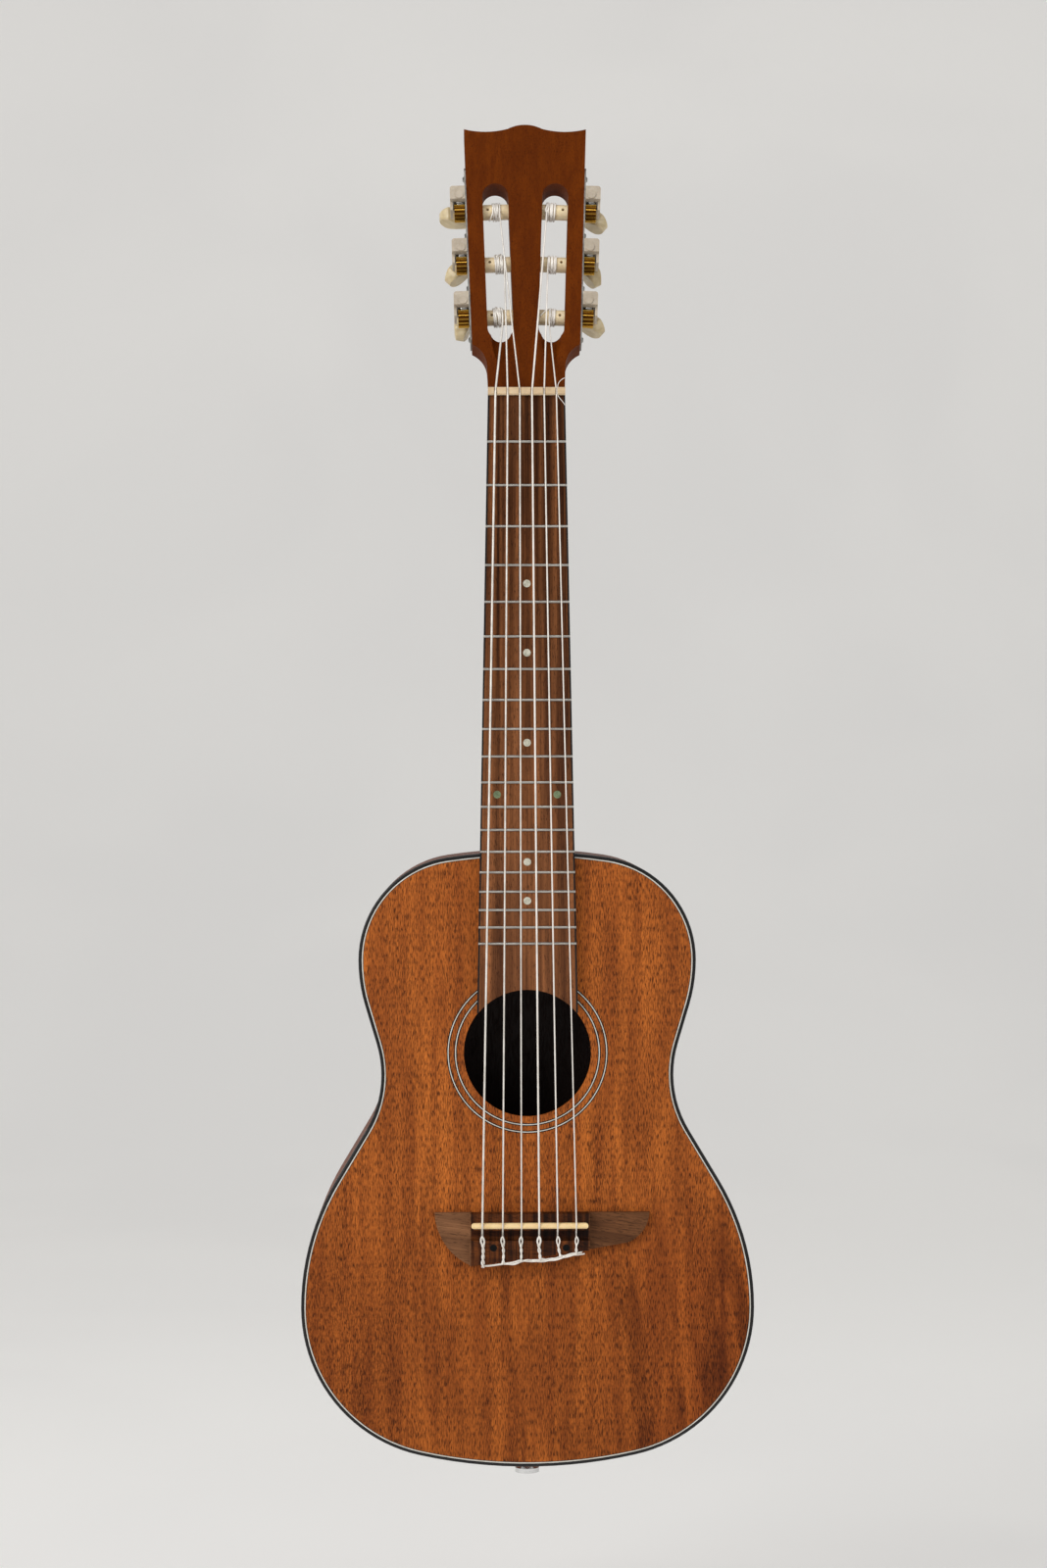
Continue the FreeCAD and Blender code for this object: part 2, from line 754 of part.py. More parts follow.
def build_nut():
    """The nut with a slot for each string."""
    low = scale_zero
    high = scale_zero + at.nut_thick
    c = at.nut_chamfer
    corners = [(0, low), (0, high), (c - at.nut_height, high), (-at.nut_height, high - c),
               (-at.nut_height, low + c), (c - at.nut_height, low)]
    block = padded("nut_block", "YZ_Plane", corners, at.nut_width, middle=True)
    slots = []
    for string in range(1, STRING_COUNT + 1):
        width = string_size(string) + at.string_slot_room
        left = nut_x(string) - width / 2
        wide = width + 2 * at.overrun
        gap = box("nut_gap_%d" % string, width, at.nut_height + at.nut_slot_round,
                  at.nut_thick + 2 * at.overrun, left, -at.nut_height - at.overrun, low - at.overrun)
        bed = rod("nut_bed_%d" % string, at.nut_slot_round, wide, left - at.overrun,
                  nut_crown(), low + at.nut_thick / 2, ALONG_X)
        floor = box("nut_floor_%d" % string, wide, at.beyond / 4, at.nut_thick + 4 * at.overrun,
                    left - at.overrun, nut_crown(), low - 2 * at.overrun)
        slots.append(cut("nut_slot_%d" % string, gap, bed, floor))
    keep("nut", cut("nut", block, *slots))


def string_size(string):
    return getattr(at, "string_%d_size" % string)


def nut_x(string):
    """Where a string crosses the nut; string 1 is at the treble side."""
    return at.nut_string_gap * ((STRING_COUNT + 1) / 2 - string) - at.nut_string_shift


def saddle_x(string):
    """Where a string crosses the saddle."""
    even = at.bridge_offset + at.saddle_string_gap * ((STRING_COUNT + 1) / 2 - string)
    return even + at.saddle_string_gap * STRING_STRAY_SHARES[string - 1]


def tail_drop(x):
    """How far the bridge's sloping lower edge lies below the saddle at a place along it."""
    slope = (at.bridge_tail_left - at.bridge_tail_right) / (2 * at.block_half)
    return at.bridge_tail_right + (at.bridge_offset + at.block_half - x) * slope


def along_wing(tip, root, shares):
    """A point of a wing's edge, by its shares of the run and of the drop from tip to root."""
    run_share, drop_share = shares
    return Vector(tip.x + (root.x - tip.x) * run_share, 0, tip.z + (root.z - tip.z) * drop_share)


def wing_arc(tip, root, shares):
    """The curved edge of a wing from its tip to its root."""
    return Part.Arc(tip, along_wing(tip, root, shares), root).toShape()


def bridge_outline():
    front = saddle_line + at.bridge_front
    left_tip = Vector(at.bridge_offset - at.bridge_left, 0, front)
    right_tip = Vector(at.bridge_offset + at.bridge_right, 0, front)
    left_root = Vector(at.bridge_offset - at.block_half, 0, saddle_line - at.bridge_tail_left)
    right_root = Vector(at.bridge_offset + at.block_half, 0, saddle_line - at.bridge_tail_right)
    knee = along_wing(right_tip, right_root, RIGHT_KNEE_SHARES)
    edges = [
        line_between(left_tip, right_tip),
        wing_arc(right_tip, knee, RIGHT_WING_SHARES),
        line_between(knee, right_root),
        line_between(right_root, left_root),
        wing_arc(left_tip, left_root, LEFT_WING_SHARES),
    ]
    return Part.Wire(Part.sortEdges(edges)[0])


def build_bridge():
    """The bridge with its saddle and plugs."""
    line = shape_piece("bridge_line", bridge_outline())
    wings = extrude("bridge_wings", line, at.wing_height, Vector(0, -1, 0))
    whole = extrude("bridge_whole", line, at.bridge_height, Vector(0, -1, 0))
    left = at.bridge_offset - at.block_half
    width = 2 * at.block_half
    block_box = box("bridge_block_box", width, at.bridge_height, at.beyond, left, -at.bridge_height,
                    saddle_line - at.beyond / 2)
    block = common("bridge_block", whole, block_box)
    channel_depth = at.bridge_height - at.channel_floor
    channel = box("bridge_channel", width + 2 * at.overrun, channel_depth + at.overrun,
                  at.tie_front - at.channel_front, left - at.overrun, -at.bridge_height - at.overrun,
                  saddle_line - at.tie_front)
    tie_step = box("tie_step", width + 2 * at.overrun, at.bridge_height - at.tie_height + at.overrun,
                   at.bridge_tail_left, left - at.overrun, -at.bridge_height - at.overrun,
                   saddle_line - at.tie_front - at.bridge_tail_left)

    half = at.saddle_length / 2 - at.saddle_thick / 2
    rise = at.saddle_top - at.saddle_seat
    round_radius = at.saddle_thick / 2
    bar = box("saddle_bar", 2 * half, rise, at.saddle_thick, at.bridge_offset - half, -at.saddle_top,
              saddle_line - round_radius)
    ends = [rod("saddle_end_%d" % n, round_radius, rise, at.bridge_offset + side * half, -at.saddle_top,
                saddle_line, ALONG_Y) for n, side in enumerate((1, -1))]
    foot = fuse("saddle_foot", bar, *ends)
    saddle_left = at.bridge_offset - at.saddle_length / 2
    crown_height = round_radius - at.saddle_top
    crown = rod("saddle_crown", round_radius, at.saddle_length, saddle_left, crown_height, saddle_line,
                ALONG_X)
    stem = box("saddle_stem", at.saddle_length, rise - round_radius, at.saddle_thick,
               saddle_left, crown_height, saddle_line - round_radius)
    keep("saddle", common("saddle", foot, fuse("saddle_profile", crown, stem)))

    holes = [rod("tie_hole_%d" % n, string_size(n) / 2 + at.string_room, at.bridge_tail_left + at.overrun,
                 saddle_x(n), -at.tie_hole_height, saddle_line - at.tie_front - at.bridge_tail_left, ALONG_Z)
             for n in range(1, STRING_COUNT + 1)]
    plugs = [rod("plug_%d" % n, at.plug_radius, at.plug_depth, at.bridge_offset + side * at.plug_spread,
                 -at.tie_height, saddle_line - at.plug_drop, ALONG_Y) for n, side in enumerate((1, -1))]
    keep("bridge_plugs", group("bridge_plugs", plugs))
    solid = fuse("bridge_solid", wings, block)
    keep("bridge", cut("bridge", solid, channel, tie_step, foot, *holes, *plugs))


def grip_section(width, depth, corner, side, frame):
    """A cross-section of the neck: flat in front, short sides, round corners and a full back."""
    half = float(width) / 2
    depth = float(depth)
    side = max(float(side), depth - SECTION_SHARE * half)
    corner = min(float(corner), ROUND_LIMIT_SHARE * (depth - side), ROUND_LIMIT_SHARE * half)
    inner = half - corner
    drop = depth - side
    back = (inner ** 2 + drop ** 2 - corner ** 2) / (2 * (drop - corner))
    back_centre = Vector(0, depth - back, 0)
    corner_centre = Vector(inner, side, 0)
    toward = (corner_centre - back_centre).normalize()
    join = corner_centre + toward * corner
    halfway = (toward + Vector(1, 0, 0)).normalize()
    corner_mid = corner_centre + halfway * corner

    def flipped(point):
        return Vector(-point.x, point.y, point.z)

    edges = [
        line_between(Vector(-half, 0, 0), Vector(half, 0, 0)),
        line_between(Vector(half, 0, 0), Vector(half, side, 0)),
        Part.Arc(Vector(half, side, 0), corner_mid, join).toShape(),
        Part.Arc(join, Vector(0, depth, 0), flipped(join)).toShape(),
        Part.Arc(flipped(join), flipped(corner_mid), Vector(-half, side, 0)).toShape(),
        line_between(Vector(-half, side, 0), Vector(-half, 0, 0)),
    ]
    wire = Part.Wire(edges)
    wire.Placement = frame
    return wire


def level(z):
    """A level frame at a height on the middle line."""
    return Placement(Vector(0, 0, z), Rotation())


def blend(start, end, share):
    return float(start) + (float(end) - float(start)) * share


def neck_shapes():
    """The throat behind the nut, the shaft and the heel, each lofted through its cross-sections."""
    nut_section = grip_section(at.nut_width, at.neck_depth, at.neck_round, at.neck_side, level(pivot))
    throat = [nut_section]
    for share in THROAT_SHARES:
        width = blend(at.nut_width, at.throat_width, share)
        depth = blend(at.neck_depth, at.head_thick, share)
        corner = blend(at.neck_round, at.throat_round, share)
        side = blend(at.neck_side, at.head_thick - 2 * at.throat_round, share)
        frame = HEAD * level(at.throat_length * share)
        throat.append(grip_section(width, depth, corner, side, frame))
    heel = []
    for share in HEEL_SHARES:
        sweep = share ** HEEL_SWEEP
        z = body_top + at.heel_length * (1 - share) - at.overrun * share
        width = board_width(scale_zero - z)
        depth = blend(at.neck_heel_depth, at.heel_depth, sweep)
        corner = blend(at.neck_round, at.heel_round, share)
        side = blend(at.neck_side, at.heel_side, share)
        heel.append(grip_section(width, depth, corner, side, level(z)))
    return (
        Part.makeLoft(throat, True, False),
        Part.makeLoft([nut_section, heel[0]], True, True),
        Part.makeLoft(heel, True, False),
    )


def head_outline():
    """The headstock's outline in its own frame, from the throat to the crest."""
    half_throat = float(at.throat_width) / 2
    corner = Vector(at.head_width / 2, 0, at.shoulder_height)
    top = Vector(at.head_top_width / 2, 0, at.head_length)
    run = corner.x - half_throat
    rise = float(at.shoulder_height - at.throat_length)
    radius = (run ** 2 + rise ** 2) / (2 * run)
    centre = Vector(half_throat + radius, 0, at.throat_length)
    end = math.atan2(corner.z - centre.z, corner.x - centre.x)
    shoulder = arc_about(centre, radius, math.pi, end)
    dip = Vector(top.x * CREST_DIP_SHARE, 0, at.head_length - at.crest_dip)
    crest = Vector(0, 0, at.head_length + at.crest_rise)
    turn = Vector(top.x * CREST_TURN_SHARE, 0, blend(dip.z, crest.z, CREST_TURN_RISE_SHARE))
    other_turn = Vector(-turn.x, 0, turn.z)
    half = [
        line_between(Vector(half_throat, 0, 0), Vector(half_throat, 0, at.throat_length)),
        shoulder,
        line_between(corner, top),
        Part.Arc(top, dip, turn).toShape(),
    ]
    other_half = [edge.mirror(Vector(), Vector(1, 0, 0)) for edge in half]
    closing = [
        Part.Arc(turn, crest, other_turn).toShape(),
        line_between(Vector(-half_throat, 0, 0), Vector(half_throat, 0, 0)),
    ]
    return Part.Wire(Part.sortEdges(half + other_half + closing)[0])


def slot_centre():
    """How far inside the head's side a slot's middle line runs."""
    return at.slot_wall + at.slot_width / 2


def head_slot(side):
    """The cutter for one slot and the ramp at its lower end, in the frame of the head's side."""
    name = "slot_treble" if side > 0 else "slot_bass"
    radius = at.slot_width / 2
    x = -side * slot_centre()
    depth = at.head_thick + 2 * at.overrun
    low = at.slot_start + radius
    high = at.slot_start + at.slot_length - radius
    middle = box(name + "_middle", at.slot_width, depth, high - low, x - radius, -at.overrun, low)
    ends = [rod(name + "_end_%d" % n, radius, depth, x, -at.overrun, z, ALONG_Y)
            for n, z in enumerate((low, high))]
    ramp = rod(name + "_ramp_rod", at.ramp_radius, at.ramp_reach * 2 + at.slot_width, 0, 0, 0, ALONG_Z)
    start = Placement(Vector(x, 0, low - at.ramp_reach - radius), Rotation(Vector(1, 0, 0), -RAMP_ANGLE))
    lowered = Placement(Vector(0, -at.ramp_radius, 0), Rotation())
    ramp_set = group(name + "_ramp", [ramp])
    ramp_set.Placement = start * lowered
    slot = fuse(name, middle, *ends, ramp_set)
    slot.Placement = SIDE_FRAMES[side]
    return slot


def roller_bore(side, roller):
    """The hole that carries a roller through the outer wall and into the head's core."""
    length = at.slot_wall + at.slot_width + at.roller_seat + at.running_gap
    name = "roller_bore_%d_%s" % (roller, "t" if side > 0 else "b")
    bore = rod(name, at.roller_radius + at.running_gap, length + at.overrun, -side * length, 0, 0, ALONG_X)
    if side < 0:
        bore.setExpression("Placement.Base.x", text_of(-at.overrun))
    bore_set = group(name + "_set", [bore])
    bore_set.Placement = machine_frame(side, roller)
    return bore_set


def build_neck(screws):
    """The neck and the headstock, parted by the scarf joint."""
    throat, shaft, heel = [shape_piece(name, shape) for name, shape in
                           zip(("throat", "shaft", "heel"), neck_shapes())]
    line = shape_piece("head_line", head_outline())
    raw_head = extrude("head_board", line, at.head_thick, Vector(0, 1, 0))
    trim = box("throat_trim", at.beyond, at.beyond, at.throat_length + at.beyond, -at.beyond / 2,
               -at.beyond / 2, -at.beyond)
    head_board = cut("head_plate", raw_head, trim)
    head_board.Placement = HEAD
    blank = fuse("neck_blank", throat, shaft, heel, head_board)
    seam = HEAD.multVec(Vector(0, 0, at.scarf_seam))
    beyond_seam = box("beyond_seam", at.beyond, at.beyond, at.beyond, -at.beyond / 2, -at.beyond / 2, 0)
    scarf = group("scarf", [beyond_seam])
    scarf.Placement = Placement(seam, Rotation(Vector(1, 0, 0), SCARF_ANGLE - 90))
    body_block = body_prism("neck_fit", 0, 0, at.body_depth)
    keep("neck", cut("neck", blank, scarf, body_block))
    slots = [head_slot(side) for side in (1, -1)]
    bores = [roller_bore(side, roller) for side in (1, -1) for roller in range(ROLLERS_PER_SIDE)]
    head = common("head_part", blank, scarf)
    keep("headstock", cut("headstock", head, *slots, *bores, *screws))


def outward_box(side, name, near, far, depth, height, y, z):
    """A block between two distances out from the head's side."""
    return box(name, far - near, depth, height, near if side > 0 else -far, y, z)


def side_name(side):
    return "treble" if side > 0 else "bass"


def build_plates():
    """The two side plates, their screws and the moulded worm housings."""
    screws = []
    housings = []
    for side in (1, -1):
        name = "tuner_plate_" + side_name(side)
        c = at.plate_chamfer
        low = at.plate_start
        high = at.plate_start + at.plate_length
        front = (at.head_thick - at.plate_width) / 2
        back = (at.head_thick + at.plate_width) / 2
        corners = [(front + c, low), (front, low + c), (front, high - c), (front + c, high),
                   (back - c, high), (back, high - c), (back, low + c), (back - c, low)]
        sheet_metal = padded(name + "_sheet", "YZ_Plane", corners, at.plate_thick)
        if side < 0:
            sheet_metal.Placement = Placement(Vector(-at.plate_thick, 0, 0), Rotation())
        rollers = [at.first_roller + n * at.roller_pitch for n in range(ROLLERS_PER_SIDE)]
        between = [(first + second) / 2 + at.screw_lift for first, second in zip(rollers, rollers[1:])]
        screw_heights = [low + at.screw_margin] + between + [high - at.screw_margin]
        hole_start = -at.plate_thick - at.overrun
        hole_length = 2 * (at.plate_thick + at.overrun)
        holes = [rod("%s_hole_%d" % (name, n), at.stub_radius + at.running_gap, hole_length, hole_start,
                     at.head_thick / 2, z, ALONG_X) for n, z in enumerate(rollers)]
        for n, z in enumerate(screw_heights):
            holes.append(rod("%s_screw_hole_%d" % (name, n), at.screw_radius, hole_length, hole_start,
                             at.head_thick / 2, z, ALONG_X))
            screws.append(plate_screw("screw_%s_%d" % (side_name(side), n), side, z))
        keep(name, cut(name, sheet_metal, *holes), SIDE_FRAMES[side])
        for roller in range(ROLLERS_PER_SIDE):
            housings.append(worm_housing(side, roller))
    keep("plate_screws", group("plate_screws", screws))
    keep("worm_housings", group("worm_housings", housings))
    return screws


def plate_screw(name, side, z):
    """A small domed screw that holds a plate to the head."""
    head = doc.addObject("Part::Cone", name + "_head")
    bind(head, Radius1=at.screw_head_radius, Radius2=at.screw_head_top, Height=at.screw_head_height)
    turn = Rotation(Vector(0, 1, 0), side * 90)
    place(head, side * at.plate_thick, at.head_thick / 2, z, turn)
    length = at.screw_length + at.plate_thick
    start = -at.screw_length if side > 0 else -at.plate_thick
    shank = rod(name + "_shank", at.screw_radius, length, start, at.head_thick / 2, z, ALONG_X)
    screw = fuse(name, head, shank)
    screw.Placement = SIDE_FRAMES[side]
    return screw


def worm_x(side):
    return side * at.worm_offset


def worm_housing(side, roller):
    """A moulded bracket: a front block with a round boss, a rear block, and an outer wall down past the gear."""
    name = "housing_%s_%d" % (side_name(side), roller)
    near = at.plate_thick
    far = at.plate_thick + at.housing_width
    low = at.worm_distance - at.housing_drop
    high = low + at.housing_height
    skirt = at.worm_distance - at.housing_skirt
    half_worm = at.worm_length / 2 + at.shaft_end_gap
    front = outward_box(side, name + "_front", near, far, at.housing_front, at.housing_height,
                        -half_worm - at.housing_front, low)
    rear = outward_box(side, name + "_rear", near, far, at.housing_rear, at.housing_height, half_worm, low)
    bar = outward_box(side, name + "_bar", far - at.housing_bar, far, 2 * half_worm + at.overrun,
                      high - skirt, -half_worm - at.overrun / 2, skirt)
    boss = rod(name + "_boss", at.boss_radius, at.boss_height + at.overrun, worm_x(side),
               -half_worm - at.housing_front - at.boss_height, at.worm_distance, ALONG_Y)
    blocks = fuse(name + "_blocks", front, rear, bar, boss)
    bore_length = at.worm_length + at.housing_rear + at.overrun + at.housing_front / 2
    bore = rod(name + "_bore", at.shaft_radius + at.running_gap, bore_length + at.shaft_end_gap,
               worm_x(side), -half_worm - at.housing_front / 2, at.worm_distance, ALONG_Y)
    rounding = shape_rounder(name, side, far, high)
    housing = cut(name, blocks, bore, rounding)
    housing.Placement = machine_frame(side, roller)
    return housing


def shape_rounder(name, side, far, high):
    """Takes the outer upper edge of a housing off to a radius."""
    radius = at.housing_round
    length = at.worm_length + at.housing_front + at.housing_rear + 4 * at.overrun
    start = -length / 2
    block = outward_box(side, name + "_corner", far - radius, far + at.overrun, length,
                        radius + at.overrun, start, high - radius)
    core = rod(name + "_corner_core", radius, length + 2 * at.overrun, side * (far - radius),
               start - at.overrun, high - radius, ALONG_Y)
    return cut(name + "_rounding", block, core)


def gear_outline():
    """The gear's teeth as a closed line, with a gap between two teeth at the top."""
    pitch_radius = (float(at.gear_radius) + float(at.worm_distance) - float(at.worm_radius)) / 2
    half_base = float(at.gear_tooth) / pitch_radius * (2 - GEAR_TIP_SHARE) / 2
    half_tip = float(at.gear_tooth) / pitch_radius * GEAR_TIP_SHARE / 2
    step = 2 * math.pi / GEAR_TEETH
    points = []
    for tooth in range(GEAR_TEETH):
        middle = math.pi / 2 + step * (tooth + 0.5)
        for radius, angle in ((at.gear_root, -half_base), (at.gear_radius, -half_tip),
                              (at.gear_radius, half_tip), (at.gear_root, half_base)):
            points.append(Vector(0, radius * math.cos(middle + angle), radius * math.sin(middle + angle)))
    return Part.makePolygon(points + points[:1])


def worm_lead():
    """One turn of the worm moves the gear on by one tooth at the pitch line."""
    pitch_radius = (float(at.gear_radius) + float(at.worm_distance) - float(at.worm_radius)) / 2
    return 2 * math.pi * pitch_radius / GEAR_TEETH


def worm_shape():
    """The worm and its shaft along +Z, with a thread that faces the gear at its middle."""
    lead = worm_lead()
    length = float(at.worm_length)
    core = float(at.worm_core)
    sunk = core - float(at.worm_thread) / 2
    rise = float(at.worm_radius) - sunk
    slope = math.tan(math.radians(FLANK_ANGLE))
    middle = (float(at.worm_radius) + core) / 2
    tip = float(at.worm_thread) / 2 - (float(at.worm_radius) - middle) * slope
    base = tip + rise * slope
    turns = math.ceil(length / lead) + THREAD_END_PITCHES
    start = -turns * lead / 2
    helix = Part.makeHelix(lead, turns * lead, float(at.worm_radius))
    outer = float(at.worm_radius)
    corners = [Vector(sunk, 0, -base), Vector(outer, 0, -tip), Vector(outer, 0, tip), Vector(sunk, 0, base)]
    profile = Part.makePolygon(corners + corners[:1])
    thread = Part.Wire(helix.Edges).makePipeShell([profile], True, True)
    quarter = lead / 4
    shift = start if turns % 2 == 0 else start - lead / 2
    thread.translate(Vector(0, 0, shift - quarter))
    span = Part.makeCylinder(at.worm_radius + at.overrun, length, Vector(0, 0, -length / 2))
    worm = Part.makeCylinder(core, length, Vector(0, 0, -length / 2)).fuse(thread.common(span))
    front = at.housing_front / 2
    back = at.shaft_end_gap + at.housing_rear + at.knob_gap + at.knob_length / 2
    shaft = Part.makeCylinder(at.shaft_radius, length + front + back, Vector(0, 0, -length / 2 - front))
    return worm.fuse(shaft).removeSplitter()


def knob_shape():
    """A bean-shaped knob with its neck on the shaft, along +Z from the neck's start."""
    half = float(at.knob_span) / 2
    length = float(at.knob_length)
    thick = float(at.knob_thick)
    neck = float(at.knob_gap)
    low = Vector(0, 0, neck + length * KNOB_DIP_SHARE)
    side = Vector(half, 0, neck + length / 2)
    shoulder = Vector(half * KNOB_FRONT_SHARES[0], 0, neck + length * KNOB_FRONT_SHARES[1])
    crown = Vector(0, 0, neck + length)
    cheek = Vector(half * KNOB_BACK_SHARES[0], 0, neck + length * KNOB_BACK_SHARES[1])

    def flipped(point):
        return Vector(-point.x, point.y, point.z)

    edges = [
        Part.Arc(shoulder, side, cheek).toShape(),
        Part.Arc(cheek, crown, flipped(cheek)).toShape(),
        Part.Arc(flipped(cheek), flipped(side), flipped(shoulder)).toShape(),
        Part.Arc(flipped(shoulder), low, shoulder).toShape(),
    ]
    face = Part.Face(Part.Wire(Part.sortEdges(edges)[0]))
    face.translate(Vector(0, -thick / 2, 0))
    bean = face.extrude(Vector(0, thick, 0))
    rims = [edge for edge in bean.Edges if edge.BoundBox.YLength < thick / 2]
    limit = min(float(at.knob_round), thick * KNOB_ROUND_SHARE)
    bean = bean.makeFillet(limit, rims)
    tip = Vector(half, thick / 2 * KNOB_TIP_SHARE, 0)
    waist = Vector(0, thick / 2, 0)
    lens_edges = [
        Part.Arc(Vector(-tip.x, tip.y, 0), waist, tip).toShape(),
        Part.makeLine(tip, Vector(tip.x, -tip.y, 0)),
        Part.Arc(Vector(tip.x, -tip.y, 0), -waist, Vector(-tip.x, -tip.y, 0)).toShape(),
        Part.makeLine(Vector(-tip.x, -tip.y, 0), Vector(-tip.x, tip.y, 0)),
    ]
    lens = Part.Face(Part.Wire(Part.sortEdges(lens_edges)[0])).extrude(Vector(0, 0, 2 * (neck + length)))
    bean = bean.common(lens)
    start = float(at.shaft_end_gap)
    reach = neck + length * KNOB_SEAT_SHARE - start
    collar = Part.makeCylinder(at.knob_neck_radius, reach, Vector(0, 0, start))
    bore = Part.makeCylinder(at.shaft_radius, neck + length / 2)
    return bean.fuse(collar).cut(bore).removeSplitter()


def build_machines():
    """Six machines: roller and gear on one axis, worm and knob on the other."""
    gear_line = shape_piece("gear_line", gear_outline())
    worm = worm_shape()
    knob = knob_shape()
    inner_end = -(at.slot_wall + at.slot_width + at.roller_seat)
    stub_end = at.plate_thick + at.gear_gap + at.gear_width
    c = at.roller_chamfer
    for string in sorted(MACHINES):
        side, number, _, _, knob_turn = MACHINES[string]
        frame = machine_frame(side, number)
        outwards = Placement(Vector(), Rotation(Vector(0, 0, 1), 0 if side > 0 else 180))
        corners = [(inner_end, 0), (inner_end, at.roller_radius - c), (inner_end + c, at.roller_radius),
                   (-c, at.roller_radius), (0, at.roller_radius - c), (0, at.stub_radius),
                   (stub_end, at.stub_radius), (stub_end, 0)]
        spindle = turned("spindle_%d" % string, "XZ_Plane", corners, "H_Axis")
        hole = rod("string_hole_%d" % string, at.string_hole_radius, 2 * (at.roller_radius + at.overrun),
                   -at.slot_wall - at.string_hole_inset, -at.roller_radius - at.overrun, 0, ALONG_Y)
        keep("roller_%d" % string, cut("roller_%d" % string, spindle, hole), frame * outwards)
        blank = extrude("gear_blank_%d" % string, gear_line, at.gear_width, Vector(1, 0, 0))
        bore = rod("gear_bore_%d" % string, at.stub_radius, at.gear_width + 2 * at.overrun,
                   -at.overrun, 0, 0, ALONG_X)
        gear = cut("gear_%d" % string, blank, bore)
        seat = Placement(Vector(at.plate_thick + at.gear_gap, 0, 0), Rotation())
        keep("gear_%d" % string, gear, frame * outwards * seat)
        axis = Placement(Vector(worm_x(side), 0, at.worm_distance), ALONG_Y)
        keep("worm_%d" % string, shape_piece("worm_%d" % string, worm), frame * axis)
        start = at.worm_length / 2 + at.shaft_end_gap + at.housing_rear
        set_back = Placement(Vector(0, 0, start), Rotation(Vector(0, 0, 1), 90 + knob_turn))
        keep("knob_%d" % string, shape_piece("knob_%d" % string, knob), frame * axis * set_back)


def biarc(start, start_way, end, end_way):
    """Two arcs that join smoothly from one point and direction to another."""
    gap = end - start
    ways = start_way + end_way
    twist = 2 * (1 - start_way.dot(end_way))
    reach = (math.sqrt(gap.dot(ways) ** 2 + twist * gap.dot(gap)) - gap.dot(ways)) / twist
    join = (start + start_way * reach + end - end_way * reach) * 0.5
    join_way = (end - end_way * reach - start - start_way * reach).normalize()
    return [arc_from(start, start_way, join), arc_from(join, join_way, end)]


def arc_from(start, way, end):
    """An arc that leaves a point in a given direction and ends at another point."""
    gap = end - start
    chord = gap.Length
    across = gap - way * gap.dot(way)
    across.normalize()
    half_turn = math.atan2(gap.dot(across), gap.dot(way))
    radius = chord / (2 * math.sin(half_turn))
    centre = start + across * radius
    middle = centre - across * (radius * math.cos(half_turn)) + way * (radius * math.sin(half_turn))
    return Part.Arc(start, middle, end).toShape()


def rounded_run(points, radii):
    """Straight runs between points, with a tangent arc of its own radius at each inner point."""
    edges = []
    last = points[0]
    for before, corner, after, radius in zip(points, points[1:], points[2:], radii):
        into = (corner - before).normalize()
        out = (after - corner).normalize()
        half_turn = into.getAngle(out) / 2
        reach = radius * math.tan(half_turn)
        start = corner - into * reach
        end = corner + out * reach
        bow = (out - into).normalize()
        middle = corner + bow * (radius / math.cos(half_turn) - radius)
        edges.append(line_between(last, start))
        edges.append(Part.Arc(start, middle, end).toShape())
        last = end
    edges.append(line_between(last, points[-1]))
    return edges


def over_crown(centre, radius, corner, before, after):
    """The corner whose rounding by this radius rests on the crown between two neighbours."""
    into = (corner - before).normalize()
    out = (after - corner).normalize()
    half_turn = into.getAngle(out) / 2
    bow = (into - out).normalize()
    upright = Vector(0, bow.y, bow.z).normalize()
    return centre + upright * radius + bow * (radius / math.cos(half_turn) - radius)


def winding(string):
    """The turns of a string on its roller, as edges with the start point and its direction."""
    side, number, start_share, turns, _ = MACHINES[string]
    size = float(string_size(string))
    frame = machine_frame(side, number)
    radius = float(at.roller_radius + at.winding_lift) + size / 2
    pitch = size + float(at.winding_gap)
    inner_wall = float(at.slot_wall + at.slot_width)
    start_out = start_share * float(at.slot_width) - inner_wall
    steps = round(turns * 4)

    def point(step):
        angle = step * math.pi / 2
        out = start_out + pitch * step / 4
        return frame.multVec(Vector(side * out, -radius * math.cos(angle), radius * math.sin(angle)))

    def way(step):
        angle = step * math.pi / 2
        along = Vector(side * pitch / (2 * math.pi), radius * math.sin(angle), radius * math.cos(angle))
        return frame.Rotation.multVec(along).normalize()

    edges = []
    for step in range(steps):
        edges.extend(biarc(point(step), way(step), point(step + 1), way(step + 1)))
    tail_start = point(steps)
    edges.append(line_between(tail_start, tail_start + way(steps) * float(at.winding_tail)))
    return edges, point(0), way(0)


def self_gap(wire, size, reach):
    """The least gap between stretches of a wire that lie further apart along it than reach."""
    count = int(wire.Length / (float(size) / 2)) + 2
    points = wire.discretize(count)
    step = wire.Length / (count - 1)
    skip = int(reach / step) + 1
    least = wire.Length
    for n, point in enumerate(points):
        for other in points[n + skip:]:
            least = min(least, (point - other).Length)
    return least - float(size)


